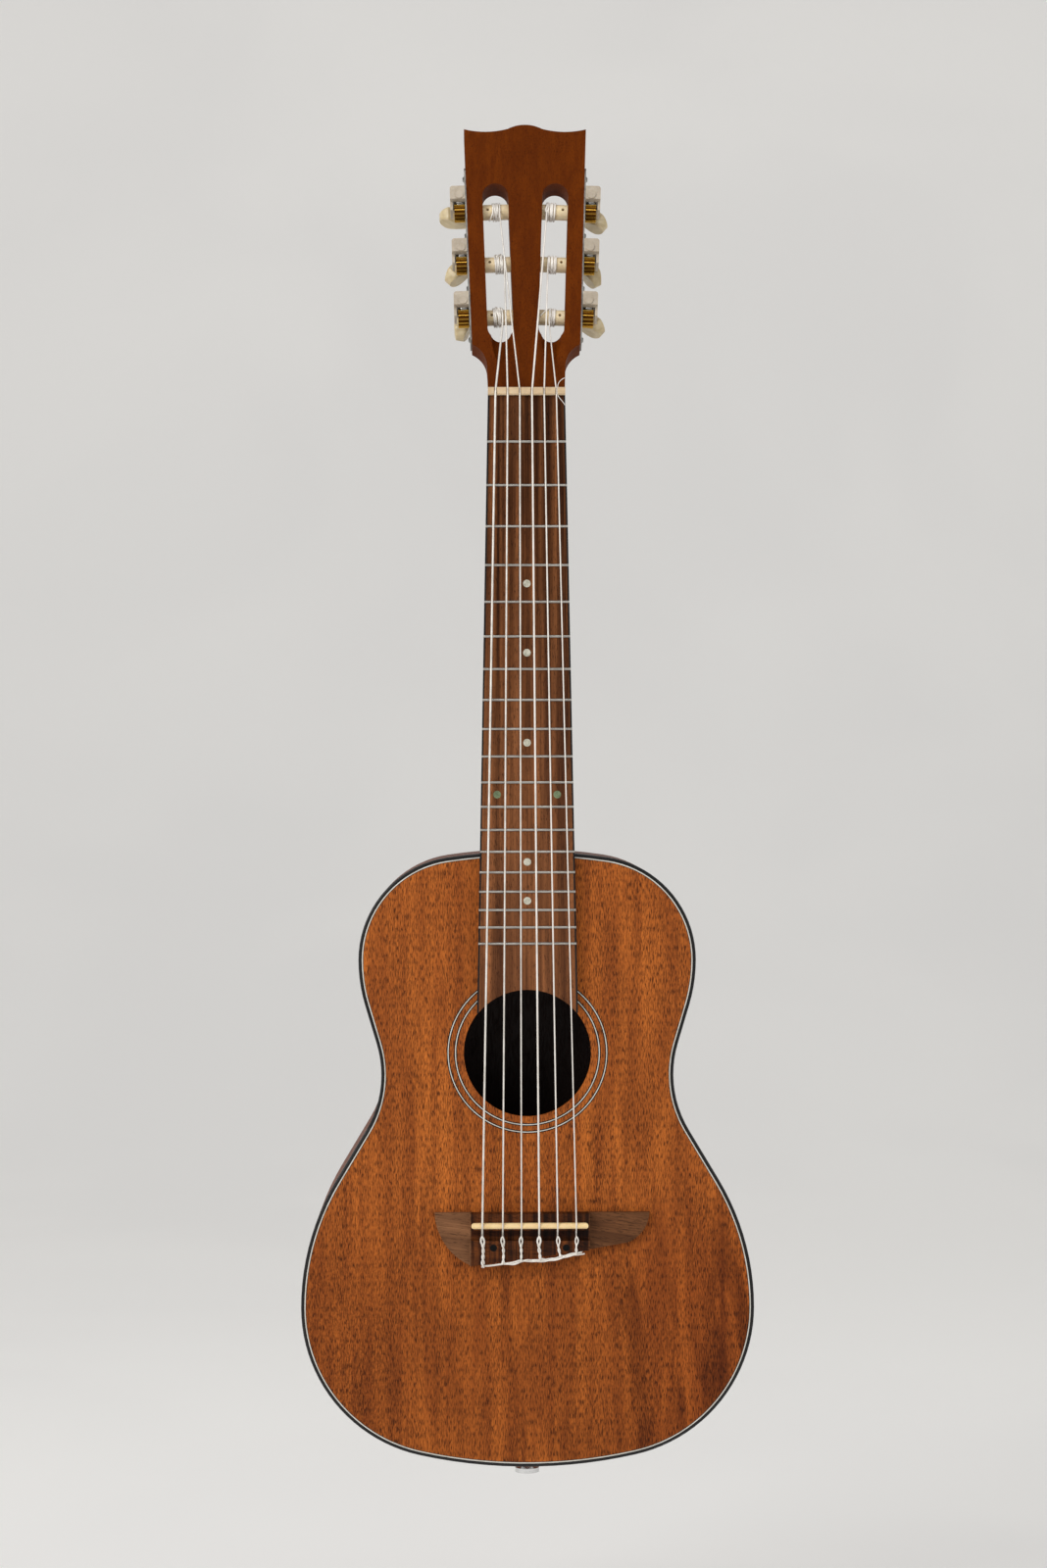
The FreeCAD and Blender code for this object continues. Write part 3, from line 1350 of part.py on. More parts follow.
def string_shape(string):
    """A string in one length: tie loop, saddle, nut and its turns on the roller."""
    size = float(string_size(string))
    radius = size / 2
    rest = float(at.string_rest)
    turns, start, way = winding(string)
    x = float(saddle_x(string))
    edge = float(saddle_line - tail_drop(saddle_x(string)))
    over_tie = -float(at.tie_height) - radius - rest
    hook = edge - float(at.tie_hook)
    tie_front = float(saddle_line - at.tie_front)
    hole = -float(at.tie_hole_height)
    tail_end = Vector(x, over_tie, tie_front - float(at.tie_end_inset))
    loop_front = Vector(x, over_tie, hook)
    loop_back = Vector(x, hole, hook)
    mouth = Vector(x, hole, tie_front + float(at.mouth_reach))
    crown_radius = float(at.saddle_thick) / 2
    crown = Vector(x, crown_radius - float(at.saddle_top), saddle_line)
    nut_centre = Vector(nut_x(string), nut_crown(), scale_zero + at.nut_thick / 2)
    lead = start - way * float(at.winding_lead)
    over_saddle = crown_radius + radius + rest
    over_nut = float(at.nut_slot_round) + radius + rest
    saddle_corner = crown + Vector(0, -over_saddle, 0)
    nut_corner = nut_centre + Vector(0, -over_nut, 0)
    for _ in range(FITTING_ROUNDS):
        saddle_corner = over_crown(crown, over_saddle, saddle_corner, mouth, nut_corner)
        nut_corner = over_crown(nut_centre, over_nut, nut_corner, saddle_corner, lead)
    lead_turn = (lead - nut_corner).getAngle(way) / 2
    lead_radius = LEAD_SHARE * float(at.winding_lead) / math.tan(lead_turn)
    points = [tail_end, loop_front, loop_back, mouth, saddle_corner, nut_corner, lead, start]
    radii = [at.tie_bend, at.tie_bend, at.mouth_bend, over_saddle, over_nut, lead_radius]
    edges = rounded_run(points, [float(r) for r in radii]) + turns
    wire = Part.Wire(edges)
    section = Part.Wire(Part.makeCircle(radius, tail_end, loop_front - tail_end))
    tube = wire.makePipeShell([section], True, False)
    expected = math.pi * radius ** 2 * wire.Length
    coil = Part.Wire(turns)
    gap = self_gap(coil, size, math.pi * float(at.roller_radius))
    print("string %d: length %.1f, volume ratio %.4f, least gap in its turns %.2f"
          % (string, wire.Length, tube.Volume / expected, gap))
    return tube


def build_strings():
    for string in range(1, STRING_COUNT + 1):
        name = "string_%d" % string
        keep(name, shape_piece(name, string_shape(string)))


def build_button():
    """The strap button at the tail and the screw that holds it."""
    rim = at.button_rim_radius
    base = at.button_base_radius
    neck = at.button_neck_radius
    bore = at.button_screw_radius + at.button_bore_room
    head = at.button_screw_head + at.button_bore_room
    low = at.button_base_height
    high = at.button_base_height + at.button_neck_height
    end = high + at.button_rim_height
    sink = end - at.button_screw_sink
    corners = [(bore, 0), (base, 0), (base, -low / 2), (neck, -low), (neck, -high + at.button_rim_height / 2),
               (rim, -high), (rim, -end), (head, -end), (head, -sink), (bore, -sink)]
    button = turned("button_turning", "XZ_Plane", corners, "V_Axis")
    button_place = Placement(Vector(0, at.body_depth / 2, body_bottom), Rotation())
    keep("strap_button", button, button_place)
    screw_head = rod("button_screw_top", at.button_screw_head, at.button_screw_sink, 0, 0, -end, ALONG_Z)
    shank = rod("button_screw_shank", at.button_screw_radius, sink + at.button_screw_length - at.overrun,
                0, 0, -sink, ALONG_Z)
    keep("strap_screw", fuse("strap_screw", screw_head, shank), button_place)


def check_document():
    """Every object has to be sound before anything is written."""
    doc.recompute()
    for thing in doc.Objects:
        if "Invalid" in thing.State or "Error" in thing.State:
            raise RuntimeError("%s failed: %s" % (thing.Name, thing.State))
    for node, piece in NODES.items():
        if piece.Shape.isNull() or not piece.Shape.isValid() or not piece.Shape.Solids:
            raise RuntimeError("%s has no sound shape" % node)


def write_parts():
    os.makedirs("parts", exist_ok=True)
    for node, piece in NODES.items():
        piece.Shape.exportStep("parts/%s.step" % node)
    print("%d nodes" % len(NODES))


shells = build_shells()
build_frame(shells)
build_board()
build_nut()
build_bridge()
build_neck(build_plates())
build_machines()
build_strings()
build_button()
check_document()
write_parts()
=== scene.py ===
"""A guitalele hanging in a plain pale studio: its finishes, its strings and ties, and its smaller fittings.

Metres. +Z runs up the neck, the strings face -Y and the bass side is at -X. The guitar's own lengths are given
in millimetres, as in the solid model. Places in its finishes, and the studio, are in metres.
"""
import math

import bmesh
import bpy
from mathutils import Matrix, Vector


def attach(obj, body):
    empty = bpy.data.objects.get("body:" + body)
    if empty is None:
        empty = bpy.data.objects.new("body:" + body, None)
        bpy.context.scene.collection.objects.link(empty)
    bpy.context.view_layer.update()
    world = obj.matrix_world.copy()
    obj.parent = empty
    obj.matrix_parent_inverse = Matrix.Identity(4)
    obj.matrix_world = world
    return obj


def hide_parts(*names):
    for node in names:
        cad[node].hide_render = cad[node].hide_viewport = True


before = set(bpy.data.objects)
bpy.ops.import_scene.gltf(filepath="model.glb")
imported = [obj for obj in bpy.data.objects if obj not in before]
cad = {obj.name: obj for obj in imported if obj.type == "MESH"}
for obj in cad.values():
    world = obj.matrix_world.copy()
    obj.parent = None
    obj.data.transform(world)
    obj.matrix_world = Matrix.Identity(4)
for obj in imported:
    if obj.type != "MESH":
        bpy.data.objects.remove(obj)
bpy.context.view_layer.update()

MM = 0.001

# Main lines of the guitar, as the solid model has them, in millimetres
SCALE_ZERO = -17.0
NUT_THICK = 4.2
NUT_TOP = -6.12
NUT_STRING_GAP = 6.4
NUT_STRING_SHIFT = 0.35
PIVOT = SCALE_ZERO + NUT_THICK
HEAD_TILT = math.radians(15.0)
HEAD_THICK = 15.0
HEAD_HALF = 28.7
HEAD_TOP_HALF = 33.0
SHOULDER_HEIGHT = 25.3
HEAD_LENGTH = 150.4
SADDLE_LINE = -453.5
SADDLE_TOP = -10.62
SADDLE_STRING_GAP = 9.8
BRIDGE_OFFSET = 1.0
BLOCK_WIDTH = 63.0
BLOCK_BASS_DROP = 21.4
BLOCK_TREBLE_DROP = 13.2
TIE_FRONT = SADDLE_LINE - 8.1
TIE_TOP = -7.2
TIE_HOLE = -4.4

# Strings, from 1 at the treble side to 6 at the bass side: diameters, and how far each strays at the saddle,
# in shares of the gap between two
STRING_SIZES = {1: 0.7, 2: 0.8, 3: 1.0, 4: 0.8, 5: 0.9, 6: 1.1}
STRING_STRAYS = {1: -0.01, 2: -0.01, 3: 0.0, 4: 0.05, 5: 0.05, 6: -0.045}
MIDDLE_STRING = 3.5
FIRST_WOUND = 4

# Side of the head, roller from the nut, start share of the slot, turns
MACHINES = {
    1: (1, 0, 0.40, 3.5),
    2: (1, 1, 0.29, 4.5),
    3: (1, 2, 0.18, 3.5),
    4: (-1, 2, 0.35, 3.5),
    5: (-1, 1, 0.25, 4.5),
    6: (-1, 0, 0.40, 3.5),
}
FIRST_ROLLER = 17.8
ROLLER_PITCH = 30.65
ROLLER_RADIUS = 4.15
SLOT_WIDTH = 13.8
SLOT_WALL = 8.6
WORM_OFFSET = 3.9
WORM_DISTANCE = 6.9
GEAR_ROOT = 3.95
GEAR_CREST = 4.7
WORM_ROOT = 1.75
WORM_CREST = 2.6

# The turns of a string on its roller, with one more than the solid has, under the locked end
EXTRA_TURNS = 1.0
TURN_STEPS = 12
TURN_LIFT = 0.08
TURN_GAP = 0.06
TURN_WANDER = 0.16
TURN_WANDER_RATE = 0.23
LEAD_IN = (5.0, 2.5)
TURN_END_OUT = 0.4
TURN_END_STEPS = (1.2, 0.8)

# How a string's end is locked on its roller: shares of the slot from its inner wall, degrees up from
# the front, and how far the string stands off the turns
LOCKS = {
    1: [(0.06, -12, 0.3), (0.20, 15, 0.6), (0.33, 45, 0.7), (0.52, 80, 0.5), (0.62, 30, 0.6), (0.58, 12, 0.2)],
    2: [(0.34, -50, 0.3), (0.46, -85, 0.8), (0.56, -70, 0.8), (0.60, -20, 0.4)],
    3: [(0.24, 60, 0.3), (0.22, 20, 0.8), (0.15, -4, 1.0), (0.13, -18, 0.9), (0.19, -26, 0.6),
        (0.24, -12, 0.2)],
    4: [(0.56, 40, 0.2), (0.60, -12, 0.6), (0.64, -38, 0.8), (0.70, -58, 1.2), (0.76, -74, 1.9)],
    5: [(0.34, -60, 0.4), (0.42, -8, 0.8), (0.32, 30, 0.9), (0.34, 72, 0.9), (0.46, 48, 1.0), (0.56, 24, 0.9),
        (0.52, 64, 0.8), (0.60, 80, 0.5), (0.64, 40, 0.2)],
    6: [(0.48, -60, 0.4), (0.58, -4, 0.8), (0.66, 60, 0.8), (0.62, 84, 0.8), (0.52, 26, 1.0), (0.46, 78, 0.8),
        (0.42, 30, 0.4)],
}

# The way of a string past its bearing points: how far from each it begins and ends to bend
SADDLE_BEND = 2.2
BEND = 2.5
LONG_BEND = 12.0
NUT_LEAD = 6.0
HOLE_MOUTH = 1.0
HOLE_BEND = 1.5

# A tie: an eye round the string, then two strands twisted over the block, hooked over its lower edge
TIE_RISE = 2.0
TIE_EYE = 3.9
TIE_EYE_HALF = 0.55
TIE_EYE_ROUNDNESS = 0.8
TIE_EYE_GAP = 0.3
TIE_EYE_DEPTH = 0.15
TIE_EYE_LIMIT = 0.7
TIE_HALF_TURN = 3.1
TIE_LEAST_HALF_TURNS = 1.2
TIE_STEPS = 24
TIE_OVERHANG = 0.9
TIE_LEAN = {2: 1.3, 4: -0.4, 6: 0.5}
TIE_USUAL_LEAN = 0.25
STRAND_SHARE = 0.42
STRAND_CHANGE = 0.10
STRAND_RATE = 9.0
SWAY = 0.22
SWAY_RATE = 5.0
HOOK = (0.1, 0.9, -0.35)
HOOK_END = (0.0, 1.9, 0.15)
TIE_CROWN = (-0.3, 0.5)

# The way that the strings' ends take along the block's lower edge, and how they stray from it
TAIL_PATH = [(-23.3, -474.1), (-16.9, -474.8), (-11.7, -473.9), (-7.2, -473.5), (-4.0, -471.7), (-0.2, -471.9),
             (6.3, -472.3), (11.5, -471.6), (16.6, -470.7), (21.7, -469.1), (26.9, -468.3), (31.0, -468.0)]
TAIL_CLEAR = 2.0
TAIL_STARTS = ((0.0, -0.4, -0.5), (1.0, 0.2, -0.9))
TAIL_DEPTH = 0.1
TAIL_WEAVE = (0.7, 0.45, 1.7)
TAIL_WANDER = (0.75, 0.33, 2.1)
TAIL_STOP_STEP = 1.3
TAIL_STOP_RANGE = 4.0
TAIL_END_STEP = 0.25
MIDDLE_TAIL = 4

# The thin dark line inside the white one round the soundboard, and how its edge is found
RIM_WIDTH = 0.3
RIM_DEPTH = 0.06
RIM_FLAT = 0.9
RIM_UPRIGHT = 0.3
SAME_PLACE = 1e-6
FRONT_LIMIT = 1e-5

# A thin strand caught under the thinnest string at the nut
STRAND_SIZE = 0.35
STRAND_PATH = [(19.9, -6.8, -8.0), (18.2, -7.6, -9.0), (16.6, -7.4, -10.8), (16.3, -7.0, -13.0),
               (16.2, -6.7, -15.0), (16.3, -6.9, -17.2), (17.4, -7.2, -18.8), (19.0, -7.4, -20.6),
               (20.2, -7.0, -22.4)]

CORD_ROUNDNESS = 2
CORD_STEPS = 4
QUARTER = math.pi / 2


# Finishes

def group_of(name, inputs, output):
    """An empty node group with named sockets: a vector, the given inputs and one number coming out."""
    tree = bpy.data.node_groups.new(name, "ShaderNodeTree")
    tree.interface.new_socket("Vector", in_out="INPUT", socket_type="NodeSocketVector")
    for label, kind, value in inputs:
        socket = tree.interface.new_socket(label, in_out="INPUT", socket_type=kind)
        socket.default_value = value
    tree.interface.new_socket(output, in_out="OUTPUT", socket_type="NodeSocketFloat")
    given = tree.nodes.new("NodeGroupInput")
    out = tree.nodes.new("NodeGroupOutput")
    return tree, given.outputs, out.inputs[output]


def math_node(tree, operation, *values):
    """A sum or product of numbers and sockets."""
    node = tree.nodes.new("ShaderNodeMath")
    node.operation = operation
    for socket, value in zip(node.inputs, values):
        if isinstance(value, float):
            socket.default_value = value
        else:
            tree.links.new(value, socket)
    return node.outputs[0]


def product(tree, first, second):
    return math_node(tree, "MULTIPLY", first, second)


def noise_node(tree, vector, detail, roughness, distortion=0.0):
    """Noise with one wave to a unit of its coordinates."""
    node = tree.nodes.new("ShaderNodeTexNoise")
    node.inputs["Scale"].default_value = 1.0
    node.inputs["Detail"].default_value = detail
    node.inputs["Roughness"].default_value = roughness
    node.inputs["Distortion"].default_value = distortion
    tree.links.new(vector, node.inputs["Vector"])
    return node.outputs["Fac"]


def ramp_node(tree, value, low, high):
    """0 below low, 1 above high, smooth between."""
    node = tree.nodes.new("ShaderNodeMapRange")
    node.interpolation_type = "SMOOTHSTEP"
    tree.links.new(value, node.inputs["Value"])
    for label, edge in (("From Min", low), ("From Max", high)):
        if isinstance(edge, float):
            node.inputs[label].default_value = edge
        else:
            tree.links.new(edge, node.inputs[label])
    return node.outputs["Result"]


def scaled(tree, vector, scales):
    """A vector stretched by one number along each axis."""
    node = tree.nodes.new("ShaderNodeVectorMath")
    node.operation = "MULTIPLY"
    tree.links.new(vector, node.inputs[0])
    if isinstance(scales, tuple):
        node.inputs[1].default_value = scales
    else:
        tree.links.new(scales, node.inputs[1])
    return node.outputs[0]


def mixed(tree, share, first, second, blend="MIX"):
    """Two colours mixed by a share."""
    node = tree.nodes.new("ShaderNodeMix")
    node.data_type = "RGBA"
    node.blend_type = blend
    share_socket, first_socket, second_socket = 0, 6, 7
    for index, value in ((share_socket, share), (first_socket, first), (second_socket, second)):
        if isinstance(value, float):
            node.inputs[index].default_value = value
        elif isinstance(value, tuple):
            node.inputs[index].default_value = (*value, 1.0)
        else:
            tree.links.new(value, node.inputs[index])
    return node.outputs[2]


def darkened(tree, share, colour, tint):
    """A colour times a tint, as far as the share goes."""
    return mixed(tree, share, colour, tint, "MULTIPLY")


def make_pores():
    """Short dark dashes along the grain, thicker in some streaks than in others."""
    tree, given, out = group_of(
        "wood_pores",
        [("Stretch", "NodeSocketVector", (3300.0, 3300.0, 430.0)), ("Threshold", "NodeSocketFloat", 0.56)],
        "Pores")
    streak_stretch, streak_pull, softness = (90.0, 90.0, 14.0), 0.14, 0.13
    fine = scaled(tree, given["Vector"], given["Stretch"])
    dashes = noise_node(tree, fine, detail=1.0, roughness=0.5, distortion=0.15)
    broad = scaled(tree, given["Vector"], streak_stretch)
    streaks = noise_node(tree, broad, detail=3.0, roughness=0.6)
    highest = math_node(tree, "ADD", given["Threshold"], streak_pull / 2)
    lower = math_node(tree, "MULTIPLY_ADD", streaks, -streak_pull, highest)
    upper = math_node(tree, "ADD", lower, softness)
    tree.links.new(ramp_node(tree, dashes, lower, upper), out)
    return tree


def make_streaks():
    """Long soft streaks along the grain."""
    tree, given, out = group_of(
        "grain_streaks",
        [("Stretch", "NodeSocketVector", (300.0, 300.0, 6.0)),
         ("Low", "NodeSocketFloat", 0.35), ("High", "NodeSocketFloat", 0.65)],
        "Streaks")
    long_way = scaled(tree, given["Vector"], given["Stretch"])
    bands = noise_node(tree, long_way, detail=4.0, roughness=0.62, distortion=0.35)
    tree.links.new(ramp_node(tree, bands, given["Low"], given["High"]), out)
    return tree


def make_mottle():
    """Slow patches that stop a finish from being the same all over."""
    tree, given, out = group_of(
        "slow_patches", [("Stretch", "NodeSocketVector", (30.0, 30.0, 12.0))], "Patches")
    wide = scaled(tree, given["Vector"], given["Stretch"])
    patches = noise_node(tree, wide, detail=2.5, roughness=0.5, distortion=0.6)
    patch_low, patch_high = 0.36, 0.66
    tree.links.new(ramp_node(tree, patches, patch_low, patch_high), out)
    return tree


PORES = make_pores()
STREAKS = make_streaks()
MOTTLE = make_mottle()


def start_material(name):
    """A new material: its tree, its shader and the piece's own coordinates."""
    material = bpy.data.materials.new(name)
    material.use_nodes = True
    tree = material.node_tree
    shader = tree.nodes["Principled BSDF"]
    place = tree.nodes.new("ShaderNodeTexCoord").outputs["Object"]
    return material, tree, shader, place


def placed_group(tree, group, vector, **values):
    """One of the groups above at the given coordinates."""
    node = tree.nodes.new("ShaderNodeGroup")
    node.node_tree = group
    tree.links.new(vector, node.inputs["Vector"])
    for label, value in values.items():
        node.inputs[label].default_value = value
    return node.outputs[0]


def bumped(tree, shader, height, strength, distance):
    """Relief from a height."""
    node = tree.nodes.new("ShaderNodeBump")
    node.inputs["Strength"].default_value = strength
    node.inputs["Distance"].default_value = distance
    tree.links.new(height, node.inputs["Height"])
    tree.links.new(node.outputs["Normal"], shader.inputs["Normal"])


def turned_place(tree, place, turn):
    """Coordinates turned about the Y axis."""
    node = tree.nodes.new("ShaderNodeMapping")
    node.inputs["Rotation"].default_value = (0.0, turn, 0.0)
    tree.links.new(place, node.inputs["Vector"])
    return node.outputs["Vector"]


BAND_EDGES = {"Low": 0.32, "High": 0.68}
LINE_EDGES = {"Low": 0.3, "High": 0.7}
BAND_SHARE = 0.6
WOOD_LINE_SHARE = 0.4
LONG_PORE_SHARES = (0.75, 0.75, 0.6)
LONG_PORE_RISE = 0.06
PORE_ROUGHNESS = 0.2
LINE_ROUGHNESS = 0.06
LINE_HEIGHT = 0.3
WOOD_RELIEF = 0.3
WOOD_RELIEF_DEPTH = 0.0002
PATCH_SHARE = 0.65
MARK_SHARE = 0.35
MARK_ROUGHNESS = 0.09
MARK_DEPTH = 0.00005
SCATTER_RADIUS = (0.003, 0.002, 0.001)


def wood(name, light, dark, pore, grain, fine, pore_size, threshold, gloss, turn=None,
         figure=(26.0, 26.0, 9.0), figure_depth=0.35, pore_depth=0.75, shine=0.22, local=None):
    """A thinly finished open-pored wood: streaks in two sizes, slow figure, and long and short pores.

    local is a function that shades one place of the piece: it takes the tree, the coordinates and the colour.
    """
    material, tree, shader, own = start_material(name)
    place = own if turn is None else turned_place(tree, own, turn)
    bands = placed_group(tree, STREAKS, place, Stretch=grain, **BAND_EDGES)
    lines = placed_group(tree, STREAKS, place, Stretch=fine, **LINE_EDGES)
    patches = placed_group(tree, MOTTLE, place, Stretch=figure)
    short = placed_group(tree, PORES, place, Stretch=pore_size, Threshold=threshold)
    longer = tuple(size * share for size, share in zip(pore_size, LONG_PORE_SHARES))
    lengthy = placed_group(tree, PORES, place, Stretch=longer, Threshold=threshold + LONG_PORE_RISE)
    pores = math_node(tree, "MAXIMUM", short, lengthy)
    both = math_node(tree, "MULTIPLY_ADD", lines, WOOD_LINE_SHARE, product(tree, bands, BAND_SHARE))
    base = mixed(tree, both, light, dark)
    shade = mixed(tree, product(tree, patches, figure_depth), base, dark)
    colour = mixed(tree, product(tree, pores, pore_depth), shade, pore)
    if local is not None:
        colour = local(tree, own, colour)
    tree.links.new(colour, shader.inputs["Base Color"])
    rough = math_node(tree, "MULTIPLY_ADD", pores, PORE_ROUGHNESS, gloss)
    rough = math_node(tree, "MULTIPLY_ADD", lines, LINE_ROUGHNESS, rough)
    tree.links.new(rough, shader.inputs["Roughness"])
    shader.inputs["Specular IOR Level"].default_value = shine
    height = math_node(tree, "SUBTRACT", product(tree, lines, LINE_HEIGHT), pores)
    bumped(tree, shader, height, WOOD_RELIEF, WOOD_RELIEF_DEPTH)
    return material


def plain(name, colour, second, roughness, metallic=0.0, shine=0.5, patch=(120.0, 120.0, 120.0),
          grain=(900.0, 900.0, 900.0), relief=0.12, subsurface=0.0, local=None):
    """A moulded, polished or plated finish with faint patches and fine scratches or flow marks."""
    material, tree, shader, place = start_material(name)
    patches = placed_group(tree, MOTTLE, place, Stretch=patch)
    marks = placed_group(tree, STREAKS, place, Stretch=grain, **LINE_EDGES)
    share = math_node(tree, "MULTIPLY_ADD", marks, MARK_SHARE, product(tree, patches, PATCH_SHARE))
    tone = mixed(tree, share, colour, second)
    if local is not None:
        tone = local(tree, place, tone)
    tree.links.new(tone, shader.inputs["Base Color"])
    rough = math_node(tree, "MULTIPLY_ADD", marks, MARK_ROUGHNESS, roughness)
    tree.links.new(rough, shader.inputs["Roughness"])
    shader.inputs["Metallic"].default_value = metallic
    shader.inputs["Specular IOR Level"].default_value = shine
    if subsurface:
        shader.inputs["Subsurface Weight"].default_value = subsurface
        shader.inputs["Subsurface Radius"].default_value = SCATTER_RADIUS
        shader.inputs["Subsurface Scale"].default_value = 1.0
    bumped(tree, shader, marks, relief, MARK_DEPTH)
    return material


def vector_step(tree, operation, first, second=None):
    """A step of vector arithmetic, the second vector being a constant."""
    node = tree.nodes.new("ShaderNodeVectorMath")
    node.operation = operation
    tree.links.new(first, node.inputs[0])
    if second is not None:
        node.inputs[1].default_value = second
    return node


def cut_metal(name, centre, axis, root, crest, root_shade_colour, crest_colour):
    """A cut thread or ring of teeth: dull between the teeth and painted dark there as shade, bright on their
    tips.
    """
    material, tree, shader, place = start_material(name)
    offset = vector_step(tree, "SUBTRACT", place, centre * MM).outputs["Vector"]
    aside = vector_step(tree, "CROSS_PRODUCT", offset, axis).outputs["Vector"]
    reach = vector_step(tree, "LENGTH", aside).outputs["Value"]
    crests = ramp_node(tree, reach, root * MM, crest * MM)
    grit, dull, root_roughness, crest_gloss, relief = (1800.0, 1800.0, 1800.0), 0.3, 0.56, -0.3, 0.1
    marks = placed_group(tree, STREAKS, place, Stretch=grit, **LINE_EDGES)
    polished = mixed(tree, product(tree, marks, dull), crest_colour, root_shade_colour)
    # Painted shade: the roots between the teeth take the dark root colour.
    tree.links.new(mixed(tree, crests, root_shade_colour, polished), shader.inputs["Base Color"])
    rough = math_node(tree, "MULTIPLY_ADD", crests, crest_gloss, root_roughness)
    tree.links.new(rough, shader.inputs["Roughness"])
    shader.inputs["Metallic"].default_value = 1.0
    bumped(tree, shader, marks, relief, MARK_DEPTH)
    return material


def along_axis(tree, place, axis):
    """One of the three coordinates."""
    node = tree.nodes.new("ShaderNodeSeparateXYZ")
    tree.links.new(place, node.inputs[0])
    return node.outputs[axis]


def between(tree, value, low, high, soft):
    """1 between two edges, 0 outside them, with soft sides."""
    return math_node(tree, "SUBTRACT", ramp_node(tree, value, low - soft, low + soft),
                     ramp_node(tree, value, high - soft, high + soft))


# Where a finish changes along a piece, in metres: low edge, high edge and softness, or the two ends of a change
LOWER_BOUT = (-0.60, -0.455, 0.035)
RIBBON_REACH = (0.035, 0.150, 0.035)
TREBLE_CORNER = (0.020, 0.100)
BASS_EDGE = (-0.050, -0.085)
BLOCK_SPAN = (-0.0300, 0.0322, 0.0004)
SADDLE_SHADOW = (-0.4598, -0.4562, 0.0006)
TREBLE_WING = (0.0318, 0.0326)
BOARD_CHANGE = (-0.330, -0.010)
MIDDLE_DOTS = (-0.005, 0.005, 0.0005)
INNER_FACE = (0.0692, 0.0685)


def ribbons_and_painted_shade(tree, place, colour):
    """The wavy darker ribbons of the lower bout, strongest on its treble side, with painted shade: the whole
    lower bout, its treble corner and its bass edge darker, the edge mostly in fine specks.
    """
    slanted = turned_place(tree, place, math.radians(5.0))
    ribbons = placed_group(tree, STREAKS, slanted, Stretch=(62.0, 62.0, 9.0), Low=0.46, High=0.62)
    across, up = along_axis(tree, place, "X"), along_axis(tree, place, "Z")
    treble_reach, reach_elsewhere, depth = 0.7, 0.3, 0.8
    reach = math_node(tree, "MULTIPLY_ADD", between(tree, across, *RIBBON_REACH), treble_reach, reach_elsewhere)
    low = between(tree, up, *LOWER_BOUT)
    ribbon_share = product(tree, product(tree, product(tree, ribbons, reach), low), depth)
    ribboned = darkened(tree, ribbon_share, colour, (0.42, 0.36, 0.30))
    # Painted shade: the treble corner of the lower bout darker, where the light falls off.
    corner = product(tree, ramp_node(tree, across, *TREBLE_CORNER), low)
    treble = darkened(tree, corner, ribboned, (0.86, 0.79, 0.76))
    # Painted shade: the whole lower bout darker, the light falling off towards the bottom.
    lower = darkened(tree, low, treble, (0.89, 0.86, 0.80))
    # Painted shade along the bass edge of the lower bout, laid mostly in fine specks.
    specks = placed_group(tree, PORES, place, Stretch=(1500.0, 1500.0, 620.0), Threshold=0.50)
    edge = product(tree, ramp_node(tree, across, *BASS_EDGE), low)
    in_specks, elsewhere = 0.55, 0.2
    edge_shade_share = product(tree, edge, math_node(tree, "MULTIPLY_ADD", specks, in_specks, elsewhere))
    return darkened(tree, edge_shade_share, lower, (0.50, 0.42, 0.40))


def shaded_block(tree, place, colour):
    """The bridge's darker middle, striped with painted shadows of the strings and ties, the shadowed strip
    below its saddle, and its treble wing darkened as painted shade.
    """
    # Painted shadows: the vertical bands over the block stand for the shadows of the strings and ties.
    bands = placed_group(tree, STREAKS, place, Stretch=(300.0, 30.0, 12.0), Low=0.40, High=0.60)
    across, up = along_axis(tree, place, "X"), along_axis(tree, place, "Z")
    tone = mixed(tree, bands, (0.12, 0.065, 0.026), (0.60, 0.37, 0.165))
    tone = darkened(tree, between(tree, up, *SADDLE_SHADOW), tone, (0.42, 0.32, 0.22))
    # Painted shade: the treble wing darker, on the side away from the light.
    wing_in_shade = darkened(tree, ramp_node(tree, across, *TREBLE_WING), colour, (0.62, 0.55, 0.47))
    return mixed(tree, between(tree, across, *BLOCK_SPAN), wing_in_shade, darkened(tree, 1.0, colour, tone))


def board_stripes_and_shadows(tree, place, colour):
    """The fingerboard: dark stripes near the nut, partly its grain and partly painted shadows of the strings,
    paler and more even towards the sound hole.
    """
    # The stripes are partly grain and partly painted shadows along the strings.
    stripes = placed_group(tree, STREAKS, place, Stretch=(300.0, 40.0, 2.5), Low=0.42, High=0.58)
    near_nut = ramp_node(tree, along_axis(tree, place, "Z"), *BOARD_CHANGE)
    gain_at_nut, least = 0.65, 0.2
    share = product(tree, stripes, math_node(tree, "MULTIPLY_ADD", near_nut, gain_at_nut, least))
    striped = darkened(tree, share, colour, (0.30, 0.25, 0.21))
    tone = mixed(tree, near_nut, (1.55, 1.55, 1.60), (0.90, 0.84, 0.74))
    return darkened(tree, 1.0, striped, tone)


def dull_pair(tree, place, colour):
    """The two dots of the twelfth fret are of a darker, greener shell than the middle ones."""
    middle = between(tree, along_axis(tree, place, "X"), *MIDDLE_DOTS)
    return mixed(tree, middle, darkened(tree, 1.0, colour, (0.30, 0.40, 0.26)), colour)


def unlit_inside(tree, place, colour):
    """The unfinished inner face of the back, painted near black as the shade inside the body."""
    inner = ramp_node(tree, along_axis(tree, place, "Y"), *INNER_FACE)
    # Painted shade: the inside of the body near black.
    return mixed(tree, inner, colour, (0.014, 0.004, 0.002))


